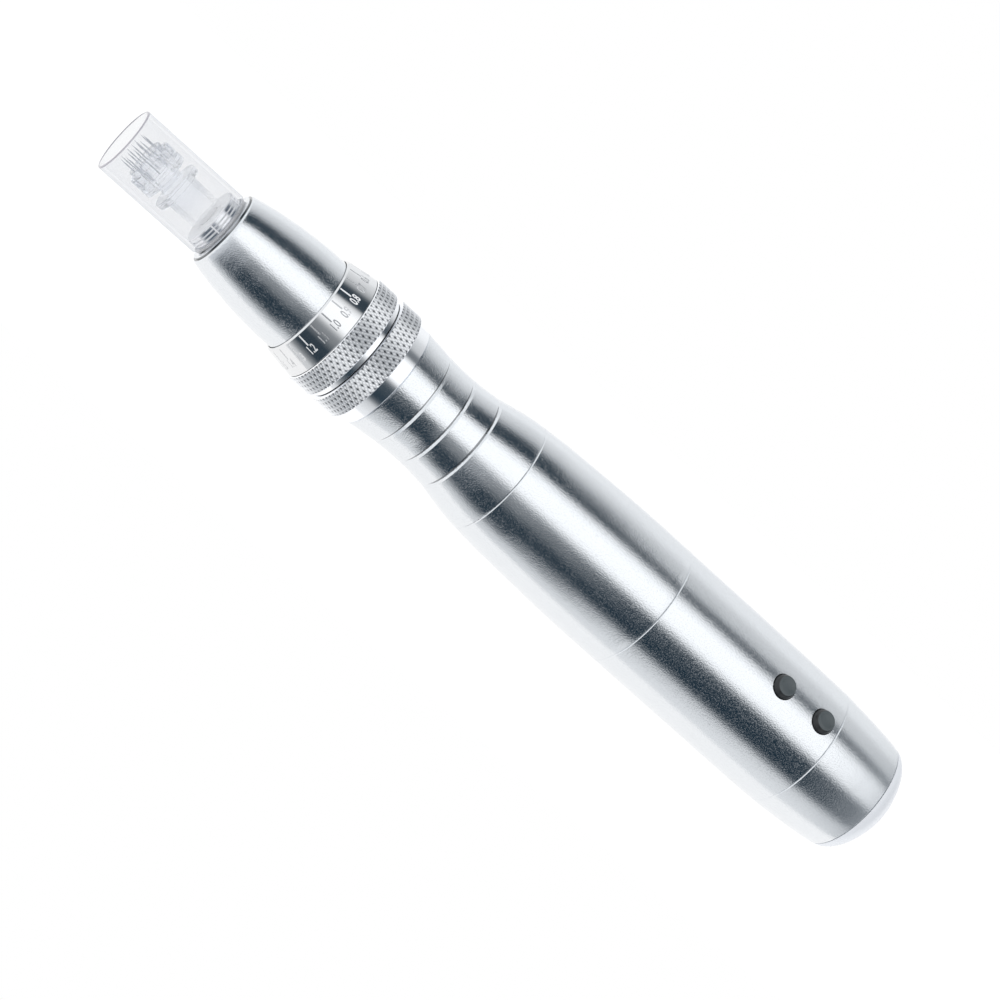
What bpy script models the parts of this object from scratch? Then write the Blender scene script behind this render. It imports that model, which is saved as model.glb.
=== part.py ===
"""A cordless microneedling pen: an aluminium handle with a motor, a swash cam and a push rod,
a depth ring that screws the nose in and out, and a clear needle cartridge.

Lengths are in metres. Places along the pen are measured from the cartridge's rim, and the
pen lies along X with its needles at -X, its buttons up and its widest barrel on Z = 0.
"""

import math

import bmesh
import bpy
from mathutils import Matrix, Vector

# Outside lengths, from the cartridge's rim to the end cap
CARTRIDGE_REACH = 0.0209
NOSE_LENGTH = 0.0187
SCALE_LENGTH = 0.00565
KNURL_WIDTH = 0.0043
RING_GAP = 0.0010
BAND_WIDTH = 0.0025
FRONT_HOUSING_LENGTH = 0.0250
MIDDLE_BARREL_LENGTH = 0.0327
REAR_BARREL_LENGTH = 0.0374
TAIL_SLEEVE_LENGTH = 0.01355
END_CAP_LENGTH = 0.0045

# Outside radii
CARTRIDGE_RADIUS = 0.0059
NOSE_FACE_RADIUS = 0.0062
NOSE_TAIL_RADIUS = 0.00902
SCALE_FRONT_RADIUS = 0.0095
SCALE_REAR_RADIUS = 0.01035
KNURL_RADIUS = 0.01065
BAND_RADIUS = 0.00985
WAIST_RADIUS = 0.00893
BODY_RADIUS = 0.01203
TAIL_TAPER = 0.00136
TAIL_RADIUS = BODY_RADIUS - TAIL_TAPER
END_FLAT_RADIUS = 0.0059

# Motions
DEPTH_PITCH = 0.0023
DEPTH_TRAVEL = 0.0022
NEEDLE_STROKE = 0.0020
BUTTON_TRAVEL = 0.0004

# Clearances, walls and cuts
SEAM = 0.00015
FIT = 0.0001
RUN = 0.0001
REST_GAP = 0.0003
WALL = 0.0013
OVERRUN = 0.004
WELD = 0.000001

# Facets
SIDES = 26
INNER_SIDES = 18
SMALL_SIDES = 12
NEEDLE_SIDES = 6
KNURL_TEETH = 39
TRACK_STEPS = 24
SHARP_ANGLE = math.radians(32)

# Body outline
WAIST_LEAD = 0.00945
TAPER_LEAD = 0.0065
WAIST_GROOVES = 3
WAIST_GROOVE_LEAD = 0.00555
WAIST_GROOVE_PITCH = 0.0054
WAIST_GROOVE_WIDTH = 0.0005
WAIST_GROOVE_DEPTH = 0.00025
NECK_SHARES = ((0, 0), (0.21, 0.08), (0.43, 0.25), (0.64, 0.55), (0.85, 0.8), (1, 1))
FLARE_SHARES = ((0, 0), (0.064, 0.026), (0.147, 0.15), (0.21, 0.35), (0.29, 0.57), (0.37, 0.7),
                (0.48, 0.8), (0.65, 0.905), (0.82, 0.97), (1, 1))
TAPER_SHARES = ((0, 0), (0.3, 0.11), (0.52, 0.26), (0.73, 0.51), (0.87, 0.72), (1, 1))
DOME_SHARES = ((0, 0), (0.16, 0.04), (0.34, 0.14), (0.52, 0.28), (0.71, 0.51), (0.86, 0.77), (1, 1))

# Nose cone
NOSE_WALL = 0.00137
NOSE_EDGE = 0.0009
NOSE_EDGE_SHARES = (0.3, 0.65)
NOSE_TAIL_SPAN = 0.0061
NOSE_SOCKET_LENGTH = 0.0103
NOSE_SHARES = ((0, 0), (0.09, 0.17), (0.25, 0.43), (0.45, 0.69), (0.65, 0.89), (0.82, 0.99), (1, 1))

# Guide sleeve, on which the nose slides and the depth knob turns
SLEEVE_WALL = 0.00135
SLEEVE_LEAD = 0.0006
FLANGE_WIDTH = 0.0006
FLANGE_STEP = 0.00065
SLEEVE_ROOT_STEP = 0.00093
SLEEVE_ROOT_LENGTH = 0.0046
SLEEVE_RADIUS = NOSE_TAIL_RADIUS - NOSE_WALL - RUN
SLEEVE_BORE = SLEEVE_RADIUS - SLEEVE_WALL
SLEEVE_ROOT_RADIUS = WAIST_RADIUS - SLEEVE_ROOT_STEP

# Depth ring and its pins
SCALE_SPIGOT_WALL = 0.00038
SCALE_SPIGOT_LENGTH = 0.0018
KNOB_HUB_RADIUS = 0.0099
FLANGE_RADIUS = NOSE_TAIL_RADIUS + RUN + SCALE_SPIGOT_WALL
NECK_RADIUS = FLANGE_RADIUS - FLANGE_STEP
KNURL_DEPTH = 0.0003
KNURL_CHAMFER = 0.0005
KNURL_ROWS = 3
PIN_RADIUS = 0.00055
PIN_TRACK_RADIUS = 0.0007
PIN_LENGTH = 0.0008
DEPTH_PIN_LEAD = 0.0013
KEY_PIN_LEAD = 0.0054
DEPTH_PIN_ANGLE = math.radians(250)
KEY_PIN_ANGLE = math.radians(90)

# Needle cartridge
SHELL_WALL = 0.00075
SHELL_REAR_GAP = 0.0007
SEAL_RADIUS = 0.00026
PLUG_DEPTH = 0.0030
PLUG_GROOVE = 0.0004
PLUG_NOTCHES = 4
PLUG_NOTCH_WIDTH = 0.0018
PLUG_STEP = 0.00005
SPIGOT_WALL = 0.0011
SPIGOT_LENGTH = 0.0121
SHELL_BORE = CARTRIDGE_RADIUS - SHELL_WALL
PLUG_RADIUS = SHELL_BORE - FIT
SPIGOT_RADIUS = PLUG_RADIUS - PLUG_STEP
SPIGOT_BORE = SPIGOT_RADIUS - SPIGOT_WALL
KEY_WIDTH = 0.0016
KEY_HEIGHT = 0.0006
KEY_LENGTH = 0.0040
KEY_LEAD = 0.0011

# Needle holder and needles
HEAD_LEAD = 0.0044
HEAD_LENGTH = 0.0037
HEAD_STEP = 0.0008
HEAD_GROOVE_DEPTH = 0.0006
HEAD_GROOVE_WIDTH = 0.0004
HEAD_SLOTS = 6
HEAD_SLOT_WIDTH = 0.0009
HEAD_SLOT_DEPTH = 0.0008
BOSS_LENGTH = 0.0010
NECK_OF_HEAD_RADIUS = 0.0022
NECK_OF_HEAD_LENGTH = 0.0017
DISC_PLAY = 0.00085
DISC_WIDTH = 0.0012
DISC_RADIUS = SHELL_BORE - DISC_PLAY
HEAD_RADIUS = DISC_RADIUS - FIT
BOSS_RADIUS = HEAD_RADIUS - HEAD_STEP
PLUNGER_RADIUS = 0.0030
STEM_RADIUS = 0.0018
TAIL_DISC_PLAY = 0.0007
TAIL_DISC_RADIUS = SPIGOT_BORE - TAIL_DISC_PLAY
TAIL_DISC_WIDTH = 0.0010
NEEDLE_RADIUS = 0.00016
NEEDLE_LEAD = 0.0017
NEEDLE_TIP_LENGTH = 0.0012
NEEDLE_DEPTH = 0.0030
NEEDLE_RING_SHARES = ((9, 0.765, math.radians(12)), (3, 0.353, math.radians(40)))
CARTRIDGE_WIRE_RADIUS = 0.00025
CARTRIDGE_SPRING_TURNS = 5
COIL_POINTS = 8

# Push rod, bushings and return spring
ROD_RADIUS = 0.0015
PUSHER_RADIUS = 0.0028
PUSHER_LENGTH = 0.0012
BUSHING_LENGTH = 0.0050
BUSHING_LEAD = 0.0008
COLLAR_RADIUS = 0.0030
COLLAR_WIDTH = 0.0012
ROD_WIRE_RADIUS = 0.00035
ROD_SPRING_RADIUS = 0.0024
ROD_SPRING_TURNS = 6

# Barrels
SPIGOT_STEP = 0.0050
JOINT_WALL = 0.0011
SHOULDER_WIDTH = 0.0008
CAP_SPIGOT_WALL = 0.0012
BARREL_BORE = BODY_RADIUS - WALL
MIDDLE_BORE = BARREL_BORE - JOINT_WALL
TAIL_BORE = TAIL_RADIUS - WALL

# Swash cam, follower and motor
MOTOR_LEAD = 0.0018
MOTOR_LENGTH = 0.0250
MOTOR_BOSS_RADIUS = 0.0029
MOTOR_HOLDER_WALL = 0.0015
MOTOR_HOLDER_LENGTH = 0.0050
MOTOR_HOLDER_LEAD = 0.0080
MOTOR_RADIUS = MIDDLE_BORE - FIT - MOTOR_HOLDER_WALL
SHAFT_RADIUS = 0.0010
SHAFT_STOP = 0.0040
PLATE_WIDTH = 0.0012
ENDBELL_STEP = 0.0006
ENDBELL_LENGTH = 0.0026
CAM_RADIUS = 0.0056
CAM_WIDTH = 0.0040
CAM_LEAD = 0.0015
ROLLER_TRACK_RADIUS = 0.0040
ROLLER_RADIUS = 0.0015
ROLLER_WIDTH = 0.0016
AXLE_RADIUS = 0.0004
FOLLOWER_RADIUS = 0.0054
FOLLOWER_WIDTH = 0.0014
EAR_WIDTH = 0.0016

# Battery, board and buttons
BATTERY_DROP = 0.0022
BATTERY_PLAY = 0.00017
BATTERY_NUB_RADIUS = 0.0026
BATTERY_NUB_LENGTH = 0.0006
BATTERY_RADIUS = TAIL_BORE - BATTERY_DROP - BATTERY_PLAY
STOP_WIDTH = 0.0014
REAR_STOP_LEAD = 0.0023
CONTACT_RADIUS = 0.0030
CONTACT_WIDTH = 0.0004
BOARD_SPARE = 0.0050
BOARD_WIDTH = BATTERY_RADIUS + BOARD_SPARE
BOARD_THICKNESS = 0.0010
BUTTON_TAIL_LEAD = 0.0126
BUTTON_SPACING = 0.0092
BUTTON_RADIUS = 0.0020
BUTTON_TAPER = 0.00045
BUTTON_PROUD = 0.0010
BUTTON_DISH = 0.00015
BUTTON_DISH_SHARE = 0.6
BUTTON_FLANGE_STEP = 0.0004
BUTTON_FLANGE_WIDTH = 0.0008
BUTTON_FLANGE_DROP = 0.0019
BUTTON_HOLE_FIT = 0.00015
SWITCH_SIZE = 0.0044
SWITCH_HEIGHT = 0.0020
SWITCH_TIP_RADIUS = 0.0010

# Charging socket
SOCKET_RADIUS = 0.0032
SOCKET_BORE = 0.0026
SOCKET_LENGTH = 0.0090
SOCKET_RECESS = 0.0003
SOCKET_FLOOR = 0.0015
SOCKET_FLANGE_RADIUS = 0.0044
SOCKET_FLANGE_WIDTH = 0.0012
SOCKET_PIN_RADIUS = 0.0008
SOCKET_PIN_RECESS = 0.0012

# Places along the pen
NOSE_Z = CARTRIDGE_REACH
SCALE_Z = NOSE_Z + NOSE_LENGTH
KNOB_Z = SCALE_Z + SCALE_LENGTH
GRIP_Z = KNOB_Z + KNURL_WIDTH + RING_GAP
HOUSING_Z = GRIP_Z + KNURL_WIDTH + BAND_WIDTH
MIDDLE_Z = HOUSING_Z + FRONT_HOUSING_LENGTH
REAR_Z = MIDDLE_Z + MIDDLE_BARREL_LENGTH
TAIL_Z = REAR_Z + REAR_BARREL_LENGTH
CAP_Z = TAIL_Z + TAIL_SLEEVE_LENGTH
END_Z = CAP_Z + END_CAP_LENGTH
WAIST_Z = HOUSING_Z + WAIST_LEAD
TAPER_Z = TAIL_Z - TAPER_LEAD

NOSE_SOCKET_Z = NOSE_Z + NOSE_SOCKET_LENGTH
NOSE_END_Z = SCALE_Z + NOSE_TAIL_SPAN
FLANGE_Z = NOSE_END_Z + DEPTH_TRAVEL + SLEEVE_LEAD
SLEEVE_Z = NOSE_SOCKET_Z + DEPTH_TRAVEL + SLEEVE_LEAD
SLEEVE_END_Z = HOUSING_Z + SLEEVE_ROOT_LENGTH
DEPTH_PIN_Z = NOSE_END_Z - DEPTH_PIN_LEAD
KEY_PIN_Z = SLEEVE_Z + KEY_PIN_LEAD

SHELL_END_Z = NOSE_Z - SHELL_REAR_GAP
PLUG_Z = NOSE_Z - PLUG_DEPTH
SPIGOT_END_Z = NOSE_Z + SPIGOT_LENGTH
HEAD_END_Z = HEAD_LEAD + BOSS_LENGTH + HEAD_LENGTH
DISC_Z = HEAD_END_Z + NECK_OF_HEAD_LENGTH
TAIL_DISC_Z = SPIGOT_END_Z - TAIL_DISC_WIDTH - TAIL_DISC_WIDTH
HOLDER_END_Z = TAIL_DISC_Z + TAIL_DISC_WIDTH

ROD_Z = HOLDER_END_Z + REST_GAP
FRONT_BUSHING_Z = SPIGOT_END_Z + DEPTH_TRAVEL + BUSHING_LEAD
REAR_BUSHING_Z = SLEEVE_END_Z - BUSHING_LENGTH
COLLAR_Z = REAR_BUSHING_Z - REST_GAP - COLLAR_WIDTH

MOTOR_Z = MIDDLE_Z - MOTOR_LEAD
SHAFT_END_Z = MOTOR_Z + MOTOR_LENGTH - SHAFT_STOP
PLATE_Z = MOTOR_Z - FIT - PLATE_WIDTH
CAM_END_Z = PLATE_Z - CAM_LEAD
CAM_Z = CAM_END_Z - CAM_WIDTH
CAM_SLOPE = NEEDLE_STROKE / (ROLLER_TRACK_RADIUS + ROLLER_TRACK_RADIUS)
ROLLER_REACH = ROLLER_TRACK_RADIUS + ROLLER_WIDTH / 2
ROLLER_Z = CAM_Z - CAM_SLOPE * ROLLER_REACH - REST_GAP - ROLLER_RADIUS
FOLLOWER_Z = ROLLER_Z - ROLLER_RADIUS - REST_GAP - FOLLOWER_WIDTH
EAR_END_Z = ROLLER_Z + AXLE_RADIUS + REST_GAP

STOP_Z = MOTOR_Z + MOTOR_LENGTH + ENDBELL_LENGTH + REST_GAP + REST_GAP
BATTERY_Z = STOP_Z + STOP_WIDTH + CONTACT_WIDTH + REST_GAP
REAR_STOP_Z = TAIL_Z + REAR_STOP_LEAD
BATTERY_END_Z = REAR_STOP_Z - REST_GAP - BATTERY_NUB_LENGTH
SHOULDER_Z = TAIL_Z - SHOULDER_WIDTH
BOARD_HEIGHT = BATTERY_RADIUS - BATTERY_DROP + REST_GAP + FIT
BUTTON_Z = TAIL_Z - BUTTON_TAIL_LEAD
SOCKET_Z = END_Z - SOCKET_RECESS - SOCKET_LENGTH

AXIS_HEIGHT = BODY_RADIUS * math.cos(math.pi / SIDES)


def clear_scene():
    for old in list(bpy.data.objects):
        bpy.data.objects.remove(old, do_unlink=True)


def collection(name):
    made = bpy.data.collections.new(name)
    bpy.context.scene.collection.children.link(made)
    return made


def finish_of(name, colour, roughness, metallic=0.0, transmission=0.0):
    """A Principled material of one finish."""
    made = bpy.data.materials.new(name)
    made.use_nodes = True
    shader = made.node_tree.nodes["Principled BSDF"]
    shader.inputs["Base Color"].default_value = (*colour, 1)
    shader.inputs["Roughness"].default_value = roughness
    shader.inputs["Metallic"].default_value = metallic
    shader.inputs["Transmission Weight"].default_value = transmission
    made.diffuse_color = (*colour, 1)
    return made


clear_scene()
PEN = collection("microneedling_pen")
CUTTERS = collection("cutters")
BLASTED = finish_of("blasted_aluminium", (0.80, 0.82, 0.84), 0.34, 1.0)
POLISHED = finish_of("polished_aluminium", (0.86, 0.87, 0.89), 0.16, 1.0)
KNURLED = finish_of("knurled_steel", (0.78, 0.79, 0.80), 0.22, 1.0)
CAP_PAINT = finish_of("pearl_cap", (0.88, 0.90, 0.92), 0.3)
CLEAR = finish_of("clear_polycarbonate", (0.95, 0.97, 1.0), 0.05, 0.0, 0.9)
NEEDLE_STEEL = finish_of("needle_steel", (0.62, 0.63, 0.65), 0.2, 1.0)
SPRING_STEEL = finish_of("spring_steel", (0.55, 0.56, 0.58), 0.3, 1.0)
BRASS = finish_of("turned_brass", (0.80, 0.62, 0.32), 0.3, 1.0)
RUBBER = finish_of("grey_rubber", (0.09, 0.10, 0.11), 0.5)
SEAL_RUBBER = finish_of("clear_silicone", (0.75, 0.77, 0.78), 0.4)
ACETAL = finish_of("white_acetal", (0.82, 0.81, 0.78), 0.45)
MOTOR_STEEL = finish_of("motor_can", (0.50, 0.51, 0.53), 0.35, 1.0)
CELL_WRAP = finish_of("cell_wrap", (0.10, 0.22, 0.42), 0.4)
BOARD_GREEN = finish_of("board_laminate", (0.05, 0.22, 0.12), 0.5)
BLACK_PLASTIC = finish_of("black_plastic", (0.03, 0.03, 0.035), 0.4)


def axis_parent():
    """The pen's axis: Z of this empty runs back along the pen from the cartridge's rim."""
    made = bpy.data.objects.new("pen_axis", None)
    made.location = (-END_Z / 2, 0, AXIS_HEIGHT)
    made.rotation_euler = (0, math.radians(90), 0)
    PEN.objects.link(made)
    return made


AXIS = axis_parent()


def on_pen(place, height=0.0, side=0.0):
    """World position of a point at a place along the pen, a height above its axis and a side."""
    return Vector((place - END_Z / 2, side, AXIS_HEIGHT + height))


def smooth_share(shares, along):
    """Height at a share of the way along a smooth curve through the (along, height) shares."""
    last = len(shares) - 2
    k = next((i for i in range(last) if along <= shares[i + 1][0]), last)
    (x0, y0), (x1, y1) = shares[k], shares[k + 1]
    before, after = shares[max(k - 1, 0)], shares[min(k + 2, len(shares) - 1)]
    leave = (y1 - before[1]) / (x1 - before[0])
    arrive = (after[1] - y0) / (after[0] - x0)
    span = x1 - x0
    t = min(max((along - x0) / span, 0), 1)
    return ((2 * t**3 - 3 * t**2 + 1) * y0 + (t**3 - 2 * t**2 + t) * span * leave
            + (3 * t**2 - 2 * t**3) * y1 + (t**3 - t**2) * span * arrive)


def body_radius(place):
    """Outside radius of the handle: it draws in to the waist, flares to the barrel and tapers."""
    if place < WAIST_Z:
        share = smooth_share(NECK_SHARES, (WAIST_Z - place) / WAIST_LEAD)
        return WAIST_RADIUS + (BAND_RADIUS - FIT - WAIST_RADIUS) * share
    if place < REAR_Z:
        share = smooth_share(FLARE_SHARES, (place - WAIST_Z) / (REAR_Z - WAIST_Z))
        return WAIST_RADIUS + (BODY_RADIUS - WAIST_RADIUS) * share
    if place < TAPER_Z:
        return BODY_RADIUS
    share = smooth_share(TAPER_SHARES, (place - TAPER_Z) / (CAP_Z - TAPER_Z))
    return BODY_RADIUS + (TAIL_RADIUS - BODY_RADIUS) * share


def body_side(start, end, steps):
    """Points of the handle's outside between two places, front to rear."""
    places = [start + (end - start) * k / steps for k in range(steps + 1)]
    return [(place, body_radius(place)) for place in places]


def keep(name, mesh, material, parent=None, location=(0, 0, 0)):
    """Put a finished mesh in the pen's collection as one sub-part."""
    made = bpy.data.objects.new(name, mesh)
    made.location = location
    made.parent = parent
    mesh.materials.clear()
    mesh.materials.append(material)
    PEN.objects.link(made)
    return made


def turned(name, outline, material, sides=SIDES, parent=AXIS, location=(0, 0, 0)):
    """A turned piece. Its outline runs along the outside from the front and, if it has a bore,
    back along that to the start. It is set with a flat facet down, for the pen to lie on."""
    shape = bmesh.new()
    corners = [shape.verts.new((radius, 0, place)) for place, radius in reversed(outline)]
    for first, second in zip(corners, corners[1:]):
        if first.co.x > 0 or second.co.x > 0:
            shape.edges.new((first, second))
    if outline[0][1] > 0:
        shape.edges.new((corners[-1], corners[0]))
    mesh = bpy.data.meshes.new(name)
    shape.to_mesh(mesh)
    shape.free()
    made = keep(name, mesh, material, parent, location)
    made.rotation_euler.z = math.pi / sides
    screw = made.modifiers.new("turn", "SCREW")
    screw.steps = screw.render_steps = sides
    screw.use_merge_vertices = True
    screw.merge_threshold = WELD
    return made


def evaluated_mesh(source):
    bpy.context.view_layer.update()
    graph = bpy.context.evaluated_depsgraph_get()
    return bpy.data.meshes.new_from_object(source.evaluated_get(graph))


def cutter(name, mesh, parent=None):
    """Put a mesh aside as a cutting shape, which is never part of the pen."""
    made = bpy.data.objects.new(name, mesh)
    made.parent = parent
    made.hide_render = True
    made.display_type = "WIRE"
    CUTTERS.objects.link(made)
    return made


def cut(piece, tool, operation="DIFFERENCE"):
    boolean = piece.modifiers.new(tool.name, "BOOLEAN")
    boolean.object = tool
    boolean.operation = operation
    boolean.solver = "EXACT"


def box_mesh(name, low, high):
    """A closed box between two corners."""
    shape = bmesh.new()
    size = Vector(high) - Vector(low)
    middle = (Vector(high) + Vector(low)) / 2
    bmesh.ops.create_cube(shape, size=1, matrix=Matrix.Translation(middle) @ Matrix.Diagonal((*size, 1)))
    mesh = bpy.data.meshes.new(name)
    shape.to_mesh(mesh)
    shape.free()
    return mesh


def rod_mesh(name, radius, start, end, sides):
    """A closed cylinder between two points."""
    start, end = Vector(start), Vector(end)
    run = end - start
    turn = run.to_track_quat("Z", "Y").to_matrix().to_4x4()
    shape = bmesh.new()
    bmesh.ops.create_cone(shape, cap_ends=True, segments=sides, radius1=radius, radius2=radius,
                          depth=run.length, matrix=Matrix.Translation((start + end) / 2) @ turn)
    mesh = bpy.data.meshes.new(name)
    shape.to_mesh(mesh)
    shape.free()
    return mesh


def tube_mesh(name, points, radius):
    """A round wire or track along a list of points, closed at both ends."""
    curve = bpy.data.curves.new(name, "CURVE")
    curve.dimensions = "3D"
    curve.bevel_depth = radius
    curve.bevel_resolution = 1
    curve.use_fill_caps = True
    spline = curve.splines.new("POLY")
    spline.points.add(len(points) - 1)
    for knot, point in zip(spline.points, points):
        knot.co = (*point, 1)
    guide = bpy.data.objects.new(name, curve)
    CUTTERS.objects.link(guide)
    mesh = evaluated_mesh(guide)
    bpy.data.objects.remove(guide, do_unlink=True)
    shape = bmesh.new()
    shape.from_mesh(mesh)
    bmesh.ops.remove_doubles(shape, verts=shape.verts, dist=WELD)
    bmesh.ops.recalc_face_normals(shape, faces=shape.faces)
    shape.to_mesh(mesh)
    shape.free()
    return mesh


def around(radius, angle, place):
    """A point of the pen's own frame, at an angle turned about the axis from straight down."""
    return Vector((radius * math.cos(angle), radius * math.sin(angle), place))


def coil_points(radius, start, end, turns):
    count = turns * COIL_POINTS
    return [around(radius, math.tau * k / COIL_POINTS, start + (end - start) * k / count)
            for k in range(count + 1)]


def coil(name, radius, wire, start, end, turns):
    """A compression spring about the pen's axis, as one unbroken wire."""
    points = coil_points(radius, start + wire, end - wire, turns)
    gap = (end - start - wire - wire) / turns - wire - wire
    print(f"{name}: gap between turns {gap * 1000:.2f} mm")
    return keep(name, tube_mesh(name, points, wire), SPRING_STEEL, AXIS)


def pin_outline(length, radius):
    """A dowel with a ball end, from the ball's tip at -radius to its flat end."""
    ball = [(-radius * math.cos(math.radians(a)), radius * math.sin(math.radians(a)))
            for a in (0, 30, 60, 90)]
    return [*ball, (length, radius), (length, 0)]


def radial_pin(name, centre, angle, outward):
    """A ball-ended pin whose ball sits at a radius and angle, pointing in or out."""
    spoke = around(1, angle, 0)
    made = turned(name, pin_outline(PIN_LENGTH, PIN_RADIUS), NEEDLE_STEEL, SMALL_SIDES, AXIS, centre)
    made.rotation_euler = (spoke if outward else -spoke).to_track_quat("Z", "Y").to_euler()
    return made


def pin_pocket(name, centre, angle, outward):
    """The blind hole that holds a radial pin's shank, which breaks out on the ball's side."""
    spoke = around(1, angle, 0) * (1 if outward else -1)
    start = centre - spoke * PIN_TRACK_RADIUS
    return cutter(name, rod_mesh(name, PIN_RADIUS + FIT / 2, start,
                                 centre + spoke * (PIN_LENGTH + FIT), SMALL_SIDES), AXIS)


def circle_of(shape, radius, place, segments):
    """One ring of points about the axis, as a step of a piece that is built ring by ring."""
    return bmesh.ops.create_circle(shape, segments=segments, radius=radius,
                                   matrix=Matrix.Translation((0, 0, place)))["verts"]


def join_rings(shape, first, second):
    """Faces between two rings of points, where one may have a multiple of the other's count."""
    fewer, more = sorted((first, second), key=len)
    ratio = len(more) // len(fewer)
    for k in range(len(fewer)):
        arc = [more[(ratio * k + i) % len(more)] for i in range(ratio + 1)]
        shape.faces.new((fewer[(k + 1) % len(fewer)], fewer[k], *arc))


def knurled_ring(name, start, end, hub, hub_end, bore, material):
    """A ring with a diamond knurl between two chamfers, and a plain hub behind it. Every other
    point of the band is pressed in, row by row, so that those between stand up as pyramids."""
    shape = bmesh.new()
    fine = KNURL_TEETH * 2
    low = KNURL_RADIUS - KNURL_DEPTH
    step = (end - start - KNURL_CHAMFER * 2) / KNURL_ROWS
    front = circle_of(shape, low, start, fine)
    rows = [circle_of(shape, KNURL_RADIUS, start + KNURL_CHAMFER + step * k, fine)
            for k in range(KNURL_ROWS + 1)]
    rear = circle_of(shape, low, end, fine)
    plain = [circle_of(shape, radius, place, SIDES) for place, radius in ((end, hub), (hub_end, hub), *bore)]
    rings = [front, *rows, rear, *plain, front]
    for first, second in zip(rings, rings[1:]):
        join_rings(shape, first, second)
    for k, row in enumerate(rows):
        for vert in row:
            spot = round(math.atan2(vert.co.y, vert.co.x) / math.tau * fine)
            if (spot + k) % 2:
                vert.co.xy *= low / KNURL_RADIUS
    band = {vert for row in rows for vert in row}
    bmesh.ops.triangulate(shape, faces=[f for f in shape.faces if band.issuperset(f.verts)],
                          quad_method="SHORT_EDGE")
    bmesh.ops.recalc_face_normals(shape, faces=shape.faces)
    mesh = bpy.data.meshes.new(name)
    shape.to_mesh(mesh)
    shape.free()
    return keep(name, mesh, material, AXIS)


def make_cartridge_shell():
    """Clear tube, open at its rim, through which the needles come out."""
    edge = SHELL_WALL / 4
    turned("cartridge_shell",
           [(0, CARTRIDGE_RADIUS - edge), (edge, CARTRIDGE_RADIUS), (SHELL_END_Z, CARTRIDGE_RADIUS),
            (SHELL_END_Z, SHELL_BORE), (edge, SHELL_BORE), (0, SHELL_BORE + edge)], CLEAR)


def make_cartridge_base():
    """Clear plug in the shell's rear, with the keyed spigot that goes into the nose."""
    groove = PLUG_Z + PLUG_GROOVE * 2
    groove_radius = PLUG_RADIUS - PLUG_GROOVE
    stem_bore = STEM_RADIUS + RUN
    base = turned("cartridge_base",
                  [(PLUG_Z, PLUG_RADIUS), (groove, PLUG_RADIUS), (groove, groove_radius),
                   (groove + PLUG_GROOVE, groove_radius), (groove + PLUG_GROOVE, PLUG_RADIUS),
                   (NOSE_Z - PLUG_GROOVE, PLUG_RADIUS), (NOSE_Z, SPIGOT_RADIUS),
                   (SPIGOT_END_Z, SPIGOT_RADIUS), (SPIGOT_END_Z, SPIGOT_BORE), (NOSE_Z, SPIGOT_BORE),
                   (NOSE_Z, stem_bore), (PLUG_Z, stem_bore)], CLEAR, INNER_SIDES)
    half = PLUG_NOTCH_WIDTH / 2
    for k in range(PLUG_NOTCHES):
        notch = cutter(f"plug_notch_{k + 1}", box_mesh(
            "plug_notch", (groove_radius, -half, PLUG_Z - OVERRUN),
            (PLUG_RADIUS + OVERRUN, half, groove - PLUG_GROOVE / 2)), AXIS)
        notch.rotation_euler.z = math.tau * (k + 0.5) / PLUG_NOTCHES
        cut(base, notch)
    for side in (1, -1):
        key = key_box(side, KEY_HEIGHT, KEY_WIDTH, KEY_LEAD, KEY_LENGTH)
        cut(base, cutter(f"cartridge_key_{side + 2}", key, AXIS), "UNION")


def key_box(side, height, width, lead, length):
    """The block of a cartridge key, or of the keyway round it."""
    inner, outer = sorted((side * (SPIGOT_RADIUS - KEY_HEIGHT), side * (SPIGOT_RADIUS + height)))
    return box_mesh("key", (-width / 2, inner, NOSE_Z + lead), (width / 2, outer, NOSE_Z + lead + length))


def make_cartridge_seal():
    """Silicone ring between the shell's rear end and the nose."""
    middle = (SHELL_END_Z + NOSE_Z) / 2
    radius = SPIGOT_RADIUS + FIT + SEAL_RADIUS
    steps = 6
    turns = [math.tau * k / steps for k in range(steps)]
    rim = [(middle - SEAL_RADIUS * math.cos(turn), radius + SEAL_RADIUS * math.sin(turn)) for turn in turns]
    turned("cartridge_seal", rim, SEAL_RUBBER, INNER_SIDES)


def needle_places():
    """(angle, radius) of each needle, ring by ring."""
    return [(phase + math.tau * k / count, BOSS_RADIUS * share)
            for count, share, phase in NEEDLE_RING_SHARES for k in range(count)]


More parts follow.
